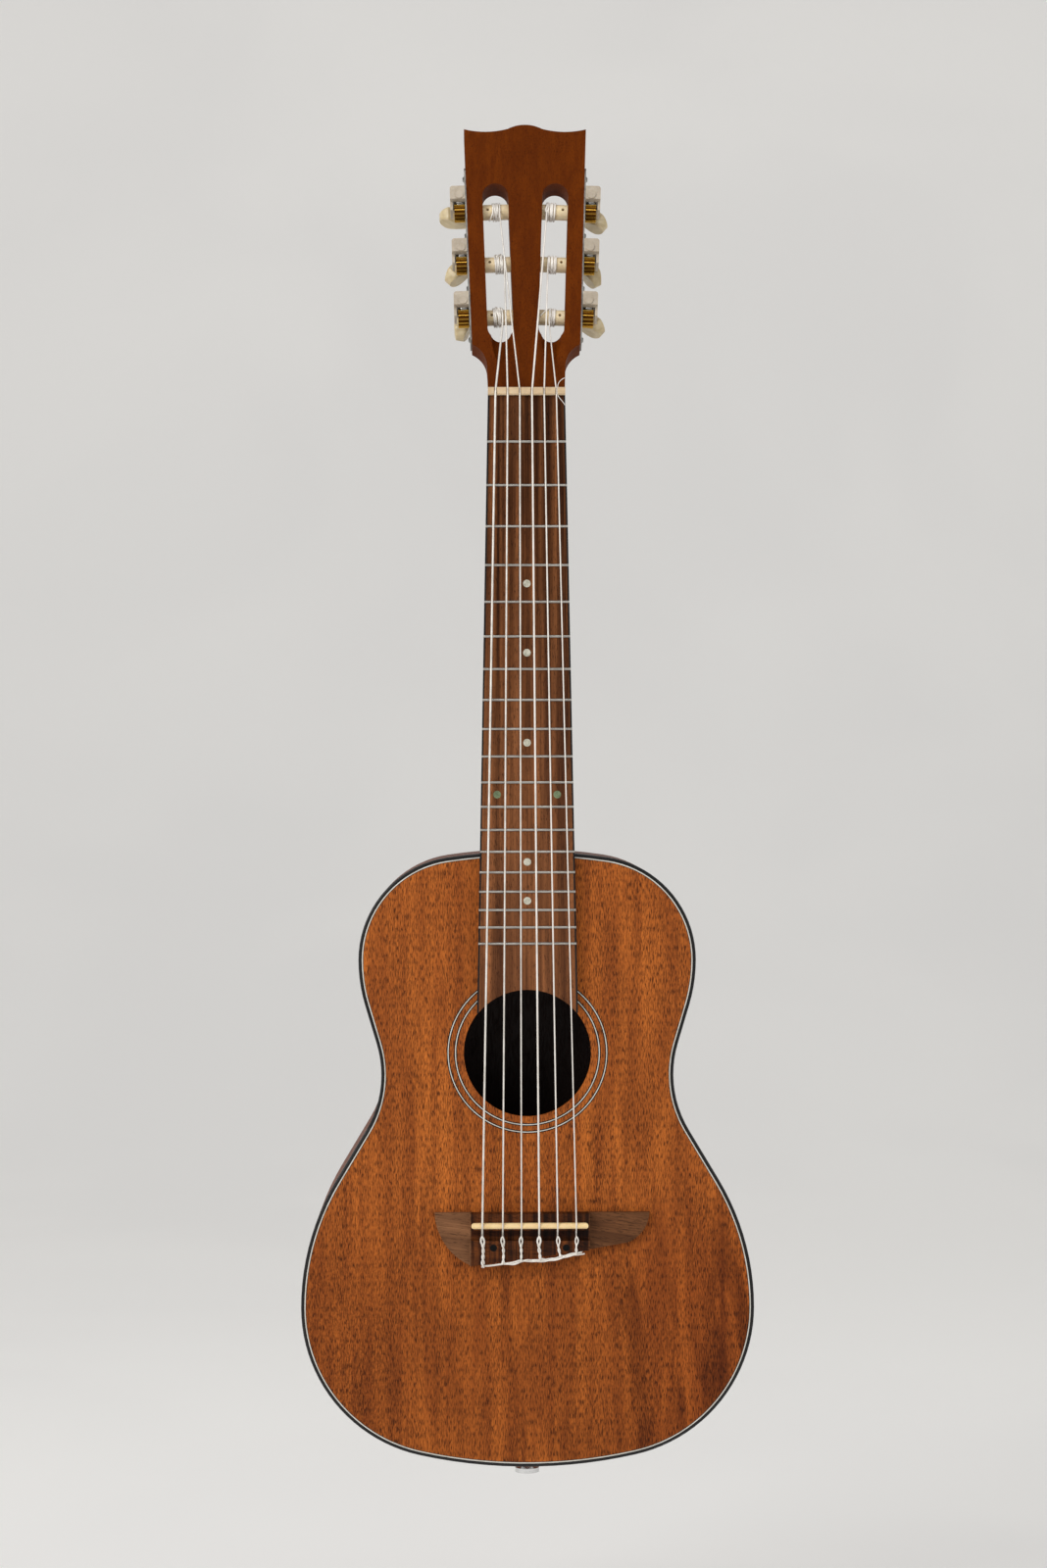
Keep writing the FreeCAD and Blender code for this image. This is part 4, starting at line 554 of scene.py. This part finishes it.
soundboard_wood = wood(
    "soundboard_mahogany", light=(0.565, 0.155, 0.023), dark=(0.245, 0.057, 0.0085),
    pore=(0.024, 0.005, 0.0015), grain=(150.0, 150.0, 7.0), fine=(1700.0, 1700.0, 70.0),
    pore_size=(3500.0, 3500.0, 300.0), threshold=0.49, gloss=0.52, figure=(48.0, 48.0, 10.0), figure_depth=0.5,
    pore_depth=0.82, shine=0.12, local=ribbons_and_painted_shade)
back_wood = wood(
    "back_mahogany", light=(0.300, 0.078, 0.016), dark=(0.160, 0.037, 0.009), pore=(0.036, 0.009, 0.003),
    grain=(130.0, 130.0, 6.0), fine=(1300.0, 1300.0, 50.0), pore_size=(2900.0, 2900.0, 215.0), threshold=0.51,
    gloss=0.44, figure=(30.0, 30.0, 8.0), figure_depth=0.5, local=unlit_inside)
side_wood = wood(
    "side_mahogany", light=(0.24, 0.062, 0.016), dark=(0.13, 0.031, 0.009), pore=(0.040, 0.011, 0.005),
    grain=(8.0, 150.0, 8.0), fine=(50.0, 1300.0, 50.0), pore_size=(215.0, 2900.0, 215.0), threshold=0.52,
    gloss=0.44, figure=(14.0, 40.0, 14.0), figure_depth=0.5)
neck_wood = wood(
    "neck_mahogany", light=(0.132, 0.0270, 0.0012), dark=(0.080, 0.0145, 0.0008), pore=(0.026, 0.005, 0.001),
    grain=(240.0, 240.0, 8.0), fine=(1500.0, 1500.0, 30.0), pore_size=(3400.0, 3400.0, 330.0), threshold=0.60,
    gloss=0.46, figure=(60.0, 60.0, 14.0), figure_depth=0.4, pore_depth=0.7, shine=0.03)
inside_wood = wood(
    "inside_spruce", light=(0.40, 0.25, 0.12), dark=(0.32, 0.18, 0.08), pore=(0.22, 0.12, 0.055),
    grain=(300.0, 300.0, 8.0), fine=(1200.0, 1200.0, 24.0), pore_size=(2400.0, 2400.0, 340.0), threshold=0.66,
    gloss=0.62, shine=0.12)
board_wood = wood(
    "fingerboard_walnut", light=(0.250, 0.094, 0.034), dark=(0.046, 0.016, 0.007), pore=(0.015, 0.006, 0.003),
    grain=(230.0, 230.0, 4.0), fine=(1300.0, 1300.0, 28.0), pore_size=(3300.0, 3300.0, 380.0), threshold=0.60,
    gloss=0.50, figure=(110.0, 110.0, 10.0), figure_depth=0.5, shine=0.06, local=board_stripes_and_shadows)
bridge_wood = wood(
    "bridge_walnut", light=(0.305, 0.136, 0.060), dark=(0.105, 0.044, 0.019), pore=(0.022, 0.009, 0.004),
    grain=(9.0, 200.0, 330.0), fine=(30.0, 1000.0, 1300.0), pore_size=(240.0, 2600.0, 2900.0), threshold=0.58,
    gloss=0.52, turn=math.radians(-8.0), figure=(18.0, 80.0, 90.0), figure_depth=0.6, shine=0.12,
    local=shaded_block)

black_binding = plain(
    "binding_black", (0.0035, 0.0035, 0.004), (0.007, 0.0065, 0.006), roughness=0.30, shine=0.3)
black_line = plain("line_black", (0.003, 0.0028, 0.0028), (0.006, 0.0055, 0.005), roughness=0.45, shine=0.08)
white_line = plain("line_white", (0.62, 0.60, 0.55), (0.48, 0.455, 0.40), roughness=0.36, shine=0.3)
saddle_bone = plain(
    "saddle_bone", (0.84, 0.63, 0.335), (0.72, 0.505, 0.245), roughness=0.36, shine=0.35,
    grain=(300.0, 300.0, 1500.0), subsurface=0.12)
nut_bone = plain(
    "nut_bone", (0.60, 0.45, 0.285), (0.47, 0.335, 0.195), roughness=0.36, shine=0.35,
    grain=(300.0, 300.0, 1500.0), subsurface=0.12)
fret_metal = plain(
    "fret_nickel", (0.50, 0.48, 0.44), (0.36, 0.34, 0.31), roughness=0.28, metallic=1.0,
    grain=(200.0, 3000.0, 3000.0))
pearl = plain(
    "dot_pearl", (0.66, 0.63, 0.52), (0.34, 0.34, 0.26), roughness=0.24, patch=(700.0, 700.0, 700.0),
    grain=(1500.0, 600.0, 1500.0), local=dull_pair)
plate_metal = plain(
    "plate_nickel", (0.26, 0.25, 0.23), (0.13, 0.125, 0.115), roughness=0.32, metallic=1.0,
    grain=(1500.0, 1500.0, 60.0))
screw_metal = plain("screw_nickel", (0.44, 0.43, 0.40), (0.20, 0.195, 0.18), roughness=0.24, metallic=1.0)
housing_plastic = plain(
    "housing_cream", (0.45, 0.385, 0.30), (0.34, 0.28, 0.21), roughness=0.34, shine=0.4, subsurface=0.1)
knob_plastic = plain(
    "knob_cream", (0.62, 0.51, 0.315), (0.42, 0.325, 0.175), roughness=0.30, patch=(90.0, 90.0, 240.0),
    grain=(260.0, 260.0, 60.0), relief=0.05, subsurface=0.12)
roller_plastic = plain(
    "roller_cream", (0.80, 0.66, 0.43), (0.60, 0.46, 0.27), roughness=0.36, shine=0.35,
    grain=(80.0, 900.0, 900.0), subsurface=0.12)
nylon = plain(
    "string_nylon", (0.84, 0.79, 0.73), (0.68, 0.63, 0.57), roughness=0.26, grain=(2500.0, 2500.0, 200.0))
wound = plain(
    "string_wound", (0.82, 0.78, 0.72), (0.60, 0.56, 0.50), roughness=0.32, metallic=0.25,
    grain=(600.0, 600.0, 6000.0), relief=0.4)
chrome = plain("strap_chrome", (0.74, 0.74, 0.74), (0.60, 0.60, 0.60), roughness=0.12, metallic=1.0)

FINISHES = {
    "soundboard": soundboard_wood, "back_plate": back_wood, "side_bass": side_wood, "side_treble": side_wood,
    "neck_block": inside_wood, "tail_block": inside_wood, "linings": inside_wood,
    "soundboard_braces": inside_wood, "back_braces": inside_wood, "bridge_plate": inside_wood,
    "binding": black_binding, "purfling": white_line, "rosette_black": black_line,
    "rosette_white": white_line, "bridge": bridge_wood, "saddle": saddle_bone, "bridge_plugs": black_line,
    "strap_button": chrome, "strap_screw": screw_metal, "neck": neck_wood, "headstock": neck_wood,
    "fingerboard": board_wood, "fingerboard_binding": black_binding, "frets": fret_metal,
    "position_markers": pearl, "nut": nut_bone, "tuner_plate_bass": plate_metal,
    "tuner_plate_treble": plate_metal, "worm_housings": housing_plastic, "plate_screws": screw_metal,
}


def dress(piece, material):
    piece.data.materials.clear()
    piece.data.materials.append(material)


# Places on the head

HEAD_PLACE = Matrix.Translation((0, 0, PIVOT)) @ Matrix.Rotation(-HEAD_TILT, 4, "X")
TAPER = math.atan2(HEAD_TOP_HALF - HEAD_HALF, HEAD_LENGTH - SHOULDER_HEIGHT)
WORM_AXIS = (HEAD_PLACE.to_3x3() @ Vector((0, 1, 0))).normalized()


def machine_place(string):
    """The place of a machine: on its roller's axis, at the face of the head's side, in millimetres."""
    side, roller, _, _ = MACHINES[string]
    face = Matrix.Translation((side * HEAD_HALF, 0, SHOULDER_HEIGHT)) @ Matrix.Rotation(side * TAPER, 4, "Y")
    return HEAD_PLACE @ face @ Matrix.Translation((0, HEAD_THICK / 2, FIRST_ROLLER + roller * ROLLER_PITCH))


for string, (side, _, _, _) in MACHINES.items():
    FINISHES["knob_%d" % string] = knob_plastic
    FINISHES["roller_%d" % string] = roller_plastic
    place = machine_place(string)
    gear_axis = (place.to_3x3() @ Vector((1, 0, 0))).normalized()
    # The gears' tooth roots and the worms' thread roots are painted dark as shade.
    FINISHES["gear_%d" % string] = cut_metal(
        "gear_brass_%d" % string, place.translation, gear_axis, GEAR_ROOT, GEAR_CREST,
        root_shade_colour=(0.10, 0.038, 0.006), crest_colour=(0.74, 0.42, 0.065))
    worm_centre = place @ Vector((side * WORM_OFFSET, 0, WORM_DISTANCE))
    FINISHES["worm_%d" % string] = cut_metal(
        "worm_steel_%d" % string, worm_centre, WORM_AXIS, WORM_ROOT, WORM_CREST,
        root_shade_colour=(0.10, 0.09, 0.08), crest_colour=(0.66, 0.64, 0.60))

for node, finish in FINISHES.items():
    dress(cad[node], finish)


def link_piece(name, mesh, material, body):
    piece = bpy.data.objects.new(name, mesh)
    bpy.context.scene.collection.objects.link(piece)
    dress(piece, material)
    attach(piece, body)
    return piece


# Strings

def nut_x(string):
    return NUT_STRING_GAP * (MIDDLE_STRING - string) - NUT_STRING_SHIFT


def saddle_x(string):
    return BRIDGE_OFFSET + SADDLE_STRING_GAP * (MIDDLE_STRING - string + STRING_STRAYS[string])


def tail_edge(x):
    """Height of the bridge's sloping lower edge at a place along it."""
    slope = (BLOCK_BASS_DROP - BLOCK_TREBLE_DROP) / BLOCK_WIDTH
    return SADDLE_LINE - (BLOCK_TREBLE_DROP + (BRIDGE_OFFSET + BLOCK_WIDTH / 2 - x) * slope)


def slot_place(share):
    """Where a share of the slot's width lies, counted outwards from the face of the head's side."""
    return share * SLOT_WIDTH - SLOT_WALL - SLOT_WIDTH


def round_roller(string, out, angle, radius):
    """A point round a machine's roller: its place along it, its angle from the front and its radius."""
    side = MACHINES[string][0]
    return machine_place(string) @ Vector((side * out, -radius * math.cos(angle), radius * math.sin(angle)))


def winding_points(string):
    """The turns of a string on its roller, from the nut's side to the free end."""
    side, _, share, turns = MACHINES[string]
    size = STRING_SIZES[string]
    radius = (ROLLER_RADIUS + TURN_LIFT + size / 2) / math.cos(math.pi / TURN_STEPS)
    start = slot_place(share)
    place = machine_place(string)
    points = [place @ Vector((side * start, -radius, -before)) for before in LEAD_IN]
    steps = round((turns + EXTRA_TURNS) * TURN_STEPS)
    for step in range(steps + 1):
        wander = TURN_WANDER * math.sin(step * TURN_WANDER_RATE + string)
        out = start + (size + TURN_GAP) * step / TURN_STEPS + wander
        points.append(round_roller(string, out, 2 * math.pi * step / TURN_STEPS, radius))
    last_angle = 2 * math.pi * steps / TURN_STEPS
    along = place.to_3x3() @ Vector((side * TURN_END_OUT, math.sin(last_angle), math.cos(last_angle)))
    for length in TURN_END_STEPS:
        points.append(points[-1] + along * length)
    return points


def speaking_points(string):
    """The string from its hole in the tie block over the saddle and the nut, up to its winding."""
    radius = STRING_SIZES[string] / 2
    x = saddle_x(string)
    top = Vector((x, SADDLE_TOP - radius, SADDLE_LINE))
    nut = Vector((nut_x(string), NUT_TOP - radius, SCALE_ZERO + NUT_THICK / 2))
    mouth = Vector((x, TIE_HOLE, TIE_FRONT + HOLE_MOUTH))
    wind = winding_points(string)
    down = (mouth - top).normalized()
    along = (nut - top).normalized()
    lead = (wind[0] - nut).normalized()
    return [
        Vector((x, TIE_HOLE, tail_edge(x) + HOLE_BEND)), Vector((x, TIE_HOLE, TIE_FRONT - HOLE_BEND)), mouth,
        top + down * SADDLE_BEND, top, top + along * BEND, top + along * LONG_BEND,
        nut - along * LONG_BEND, nut - along * BEND, nut, nut + lead * BEND, nut + lead * NUT_LEAD,
    ] + wind


def tie_lean(string):
    return TIE_LEAN.get(string, TIE_USUAL_LEAN)


def tie_strand(string, hand):
    """One strand of a tie: half of its eye, its part of the twist, and its hook over the block's edge."""
    size = STRING_SIZES[string]
    x = saddle_x(string)
    start = TIE_FRONT + TIE_RISE
    length = start - (tail_edge(x) - TIE_OVERHANG)
    eye_share = min(TIE_EYE / length, TIE_EYE_LIMIT)
    half_turns = max(TIE_LEAST_HALF_TURNS, (length - TIE_EYE) / TIE_HALF_TURN)
    points = []
    for step in range(TIE_STEPS + 1):
        share = step / TIE_STEPS
        if share < eye_share:
            eye = math.sin(math.pi * share / eye_share) ** TIE_EYE_ROUNDNESS
            across = hand * (TIE_EYE_GAP * size + TIE_EYE_HALF * eye)
            depth = -TIE_EYE_DEPTH * hand
        else:
            twist = (share - eye_share) / (1 - eye_share) * math.pi * half_turns
            slim = STRAND_SHARE + STRAND_CHANGE * math.sin(share * STRAND_RATE + string)
            across = hand * slim * size * math.cos(twist)
            depth = hand * slim * size * math.sin(twist)
        lean = tie_lean(string) * share + SWAY * math.sin(share * SWAY_RATE + string)
        points.append(Vector((x + across + lean, TIE_TOP - size + depth, start - share * length)))
    aside, back, down = HOOK
    points.append(points[-1] + Vector((aside * hand, back, down)))
    points.append(points[-1] + Vector(HOOK_END))
    return points


def tie_points(string):
    """Both strands of a tie as one line, joined over the eye's top."""
    ahead, above = TIE_CROWN
    crown = Vector((saddle_x(string), TIE_TOP - STRING_SIZES[string] + ahead, TIE_FRONT + TIE_RISE + above))
    return tie_strand(string, 1)[::-1] + [crown] + tie_strand(string, -1)


def tail_points(string):
    """The end of a string, led along the block's lower edge over the next strings' ties."""
    size = STRING_SIZES[string]
    start = saddle_x(string) + tie_lean(string)
    stop = TAIL_PATH[-1][0] - (TAIL_STOP_STEP * string) % TAIL_STOP_RANGE
    points = [Vector((start + x, TIE_TOP + y, tail_edge(start) + z)) for x, y, z in TAIL_STARTS]
    weave, weave_rate, weave_shift = TAIL_WEAVE
    wander, wander_rate, wander_shift = TAIL_WANDER
    for x, z in TAIL_PATH:
        if x <= start + TAIL_CLEAR:
            continue
        x = min(x, stop)
        over = size * weave * math.cos(x * weave_rate + string * weave_shift)
        stray = wander * math.sin(x * wander_rate + string * wander_shift)
        points.append(Vector((x, TIE_TOP + TAIL_DEPTH - over, z + stray)))
    points[-1].z += TAIL_END_STEP * (string - MIDDLE_TAIL)
    return points


def lock_points(string):
    """The end of a string where it crosses its own turns."""
    size = STRING_SIZES[string]
    points = []
    for share, degrees, lift in LOCKS[string]:
        radius = ROLLER_RADIUS + size / 2 + lift * size
        points.append(round_roller(string, slot_place(share), math.radians(degrees), radius))
    return points


def cord_mesh(name, lines, size):
    """A mesh of round tubes, each along a smooth line through its control points."""
    curve = bpy.data.curves.new(name, "CURVE")
    curve.dimensions = "3D"
    curve.bevel_depth = size / 2 * MM
    curve.bevel_resolution = CORD_ROUNDNESS
    curve.use_fill_caps = True
    curve.resolution_u = CORD_STEPS
    for line in lines:
        spline = curve.splines.new("NURBS")
        spline.points.add(len(line) - 1)
        for point, place in zip(spline.points, line):
            point.co = (*(place * MM), 1.0)
        spline.order_u = 3
        spline.use_endpoint_u = True
    holder = bpy.data.objects.new(name, curve)
    bpy.context.scene.collection.objects.link(holder)
    bpy.context.view_layer.update()
    mesh = bpy.data.meshes.new_from_object(holder.evaluated_get(bpy.context.evaluated_depsgraph_get()))
    bpy.data.objects.remove(holder)
    for face in mesh.polygons:
        face.use_smooth = True
    return mesh


for string, size in STRING_SIZES.items():
    lines = [speaking_points(string), tie_points(string), lock_points(string)]
    if string > 1:
        lines.append(tail_points(string))
    mesh = cord_mesh("string_%d_line" % string, lines, size)
    piece = link_piece("string_line_%d" % string, mesh, nylon if string < FIRST_WOUND else wound, "root")
    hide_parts("string_%d" % string)


def front_rims(mesh):
    """The edges of a flat ring's front face, as loops of points in millimetres."""
    ring = bmesh.new()
    ring.from_mesh(mesh)
    bmesh.ops.remove_doubles(ring, verts=ring.verts, dist=SAME_PLACE)
    beside = {}
    for edge in ring.edges:
        faces = sorted(abs(face.normal.y) for face in edge.link_faces)
        if len(faces) != 2 or faces[0] >= RIM_UPRIGHT or faces[1] <= RIM_FLAT:
            continue
        if all(vert.co.y < FRONT_LIMIT for vert in edge.verts):
            first, second = edge.verts
            beside.setdefault(first, []).append(second)
            beside.setdefault(second, []).append(first)
    loops = []
    while beside:
        here = next(iter(beside))
        loop = [here.co / MM]
        while here in beside:
            ways = [vert for vert in beside.pop(here) if vert in beside]
            if ways:
                here = ways[0]
                loop.append(here.co / MM)
        loops.append(loop)
    ring.free()
    return loops


def inner_rim(node):
    """The shorter edge of a ring's front face, closed and let in a little."""
    rim = min(front_rims(cad[node].data), key=lambda loop: sum((a - b).length for a, b in zip(loop, loop[1:])))
    return [point + Vector((0, RIM_DEPTH, 0)) for point in rim + rim[:1]]


rim_line = cord_mesh("purfling_inner_line", [inner_rim("purfling")], RIM_WIDTH)
link_piece("purfling_inner_line", rim_line, black_line, "root")
strand_line = cord_mesh("loose_strand", [[Vector(point) for point in STRAND_PATH]], STRAND_SIZE)
link_piece("loose_strand", strand_line, nylon, "root")


# Studio, in metres

FLOOR = -0.72
WALL = 3.4
WALL_TOP = 4.5
SWEEP_BEND = 1.6
SWEEP_STEPS = 12
PAPER_REACH = 150.0
PAPER_GLOW = 0.26
LIGHT_TARGET = (0, 0, -0.2)


def studio_finish():
    """Matt pale paper that glows faintly, so that it stays pale far from the lights."""
    material, tree, shader, place = start_material("studio_paper")
    patches = placed_group(tree, MOTTLE, place, Stretch=(1.5, 1.5, 1.5))
    tree.links.new(mixed(tree, patches, (0.74, 0.73, 0.71), (0.70, 0.69, 0.675)), shader.inputs["Base Color"])
    shader.inputs["Roughness"].default_value = 0.9
    shader.inputs["Emission Color"].default_value = (1.0, 0.985, 0.96, 1.0)
    shader.inputs["Emission Strength"].default_value = PAPER_GLOW
    return material


def backdrop():
    """A paper sweep: floor in front, curved up into a wall so far behind that a camera fits before it."""
    sweep = bmesh.new()
    left, bend_start = -PAPER_REACH, WALL - SWEEP_BEND
    profile = [Vector((left, -PAPER_REACH, FLOOR)), Vector((left, bend_start, FLOOR))]
    for step in range(1, SWEEP_STEPS + 1):
        angle = QUARTER * step / SWEEP_STEPS
        profile.append(Vector((
            left, bend_start + SWEEP_BEND * math.sin(angle), FLOOR + SWEEP_BEND * (1 - math.cos(angle)))))
    profile.append(Vector((left, WALL, WALL_TOP)))
    corners = [sweep.verts.new(point) for point in profile]
    edges = [sweep.edges.new(pair) for pair in zip(corners, corners[1:])]
    wide = bmesh.ops.extrude_edge_only(sweep, edges=edges)
    moved = [item for item in wide["geom"] if isinstance(item, bmesh.types.BMVert)]
    bmesh.ops.translate(sweep, verts=moved, vec=(2 * PAPER_REACH, 0, 0))
    bmesh.ops.recalc_face_normals(sweep, faces=sweep.faces)
    mesh = bpy.data.meshes.new("backdrop")
    sweep.to_mesh(mesh)
    sweep.free()
    for face in mesh.polygons:
        face.use_smooth = True
    piece = bpy.data.objects.new("backdrop", mesh)
    bpy.context.scene.collection.objects.link(piece)
    dress(piece, studio_finish())


def soft_light(name, place, size, power):
    """An area light that faces the guitar."""
    data = bpy.data.lights.new(name, "AREA")
    data.shape = "RECTANGLE"
    data.size, data.size_y = size
    data.energy = power
    lamp = bpy.data.objects.new(name, data)
    bpy.context.scene.collection.objects.link(lamp)
    lamp.location = place
    lamp.rotation_mode = "QUATERNION"
    lamp.rotation_quaternion = (Vector(LIGHT_TARGET) - Vector(place)).to_track_quat("-Z", "Y")


backdrop()
soft_light("left_softbox", place=(-1.25, -1.25, 0.50), size=(0.9, 1.5), power=24.5)
soft_light("right_softbox", place=(1.5, -1.15, 0.40), size=(0.9, 1.5), power=9.0)
soft_light("top_fill", place=(0.0, -1.3, 1.5), size=(1.6, 0.8), power=9.0)
world = bpy.data.worlds.new("studio_air")
world.use_nodes = True
world.node_tree.nodes["Background"].inputs["Color"].default_value = (1.0, 1.0, 1.0, 1.0)
world.node_tree.nodes["Background"].inputs["Strength"].default_value = 0.30
bpy.context.scene.world = world
bpy.context.scene.view_settings.view_transform = "Standard"


# Camera: nearly square to the guitar, a little to its bass side, level with the eleventh fret

CAMERA_DISTANCE = 1.60
CAMERA_ASIDE = math.radians(0.8)
CAMERA_ROLL = math.radians(-0.09)
CAMERA_TARGET = (-0.00195, -0.007, -0.2215)
CAMERA_SENSOR_MM = 36.0
CAMERA_REACH = 500.0
PHOTO_ROWS = 1600
PHOTO_PIXEL_MM = 0.51505


def set_camera():
    target = Vector(CAMERA_TARGET)
    data = bpy.data.cameras.new("camera")
    data.sensor_width = CAMERA_SENSOR_MM
    data.lens = CAMERA_SENSOR_MM / 2 / (PHOTO_ROWS * PHOTO_PIXEL_MM * MM / 2 / CAMERA_DISTANCE)
    data.clip_end = CAMERA_REACH
    camera = bpy.data.objects.new("camera", data)
    bpy.context.scene.collection.objects.link(camera)
    away = Vector((-math.sin(CAMERA_ASIDE), -math.cos(CAMERA_ASIDE), 0))
    camera.location = target + away * CAMERA_DISTANCE
    camera.rotation_mode = "QUATERNION"
    look = (target - camera.location).to_track_quat("-Z", "Y")
    camera.rotation_quaternion = look @ Matrix.Rotation(CAMERA_ROLL, 4, "Z").to_quaternion()
    bpy.context.scene.camera = camera


set_camera()
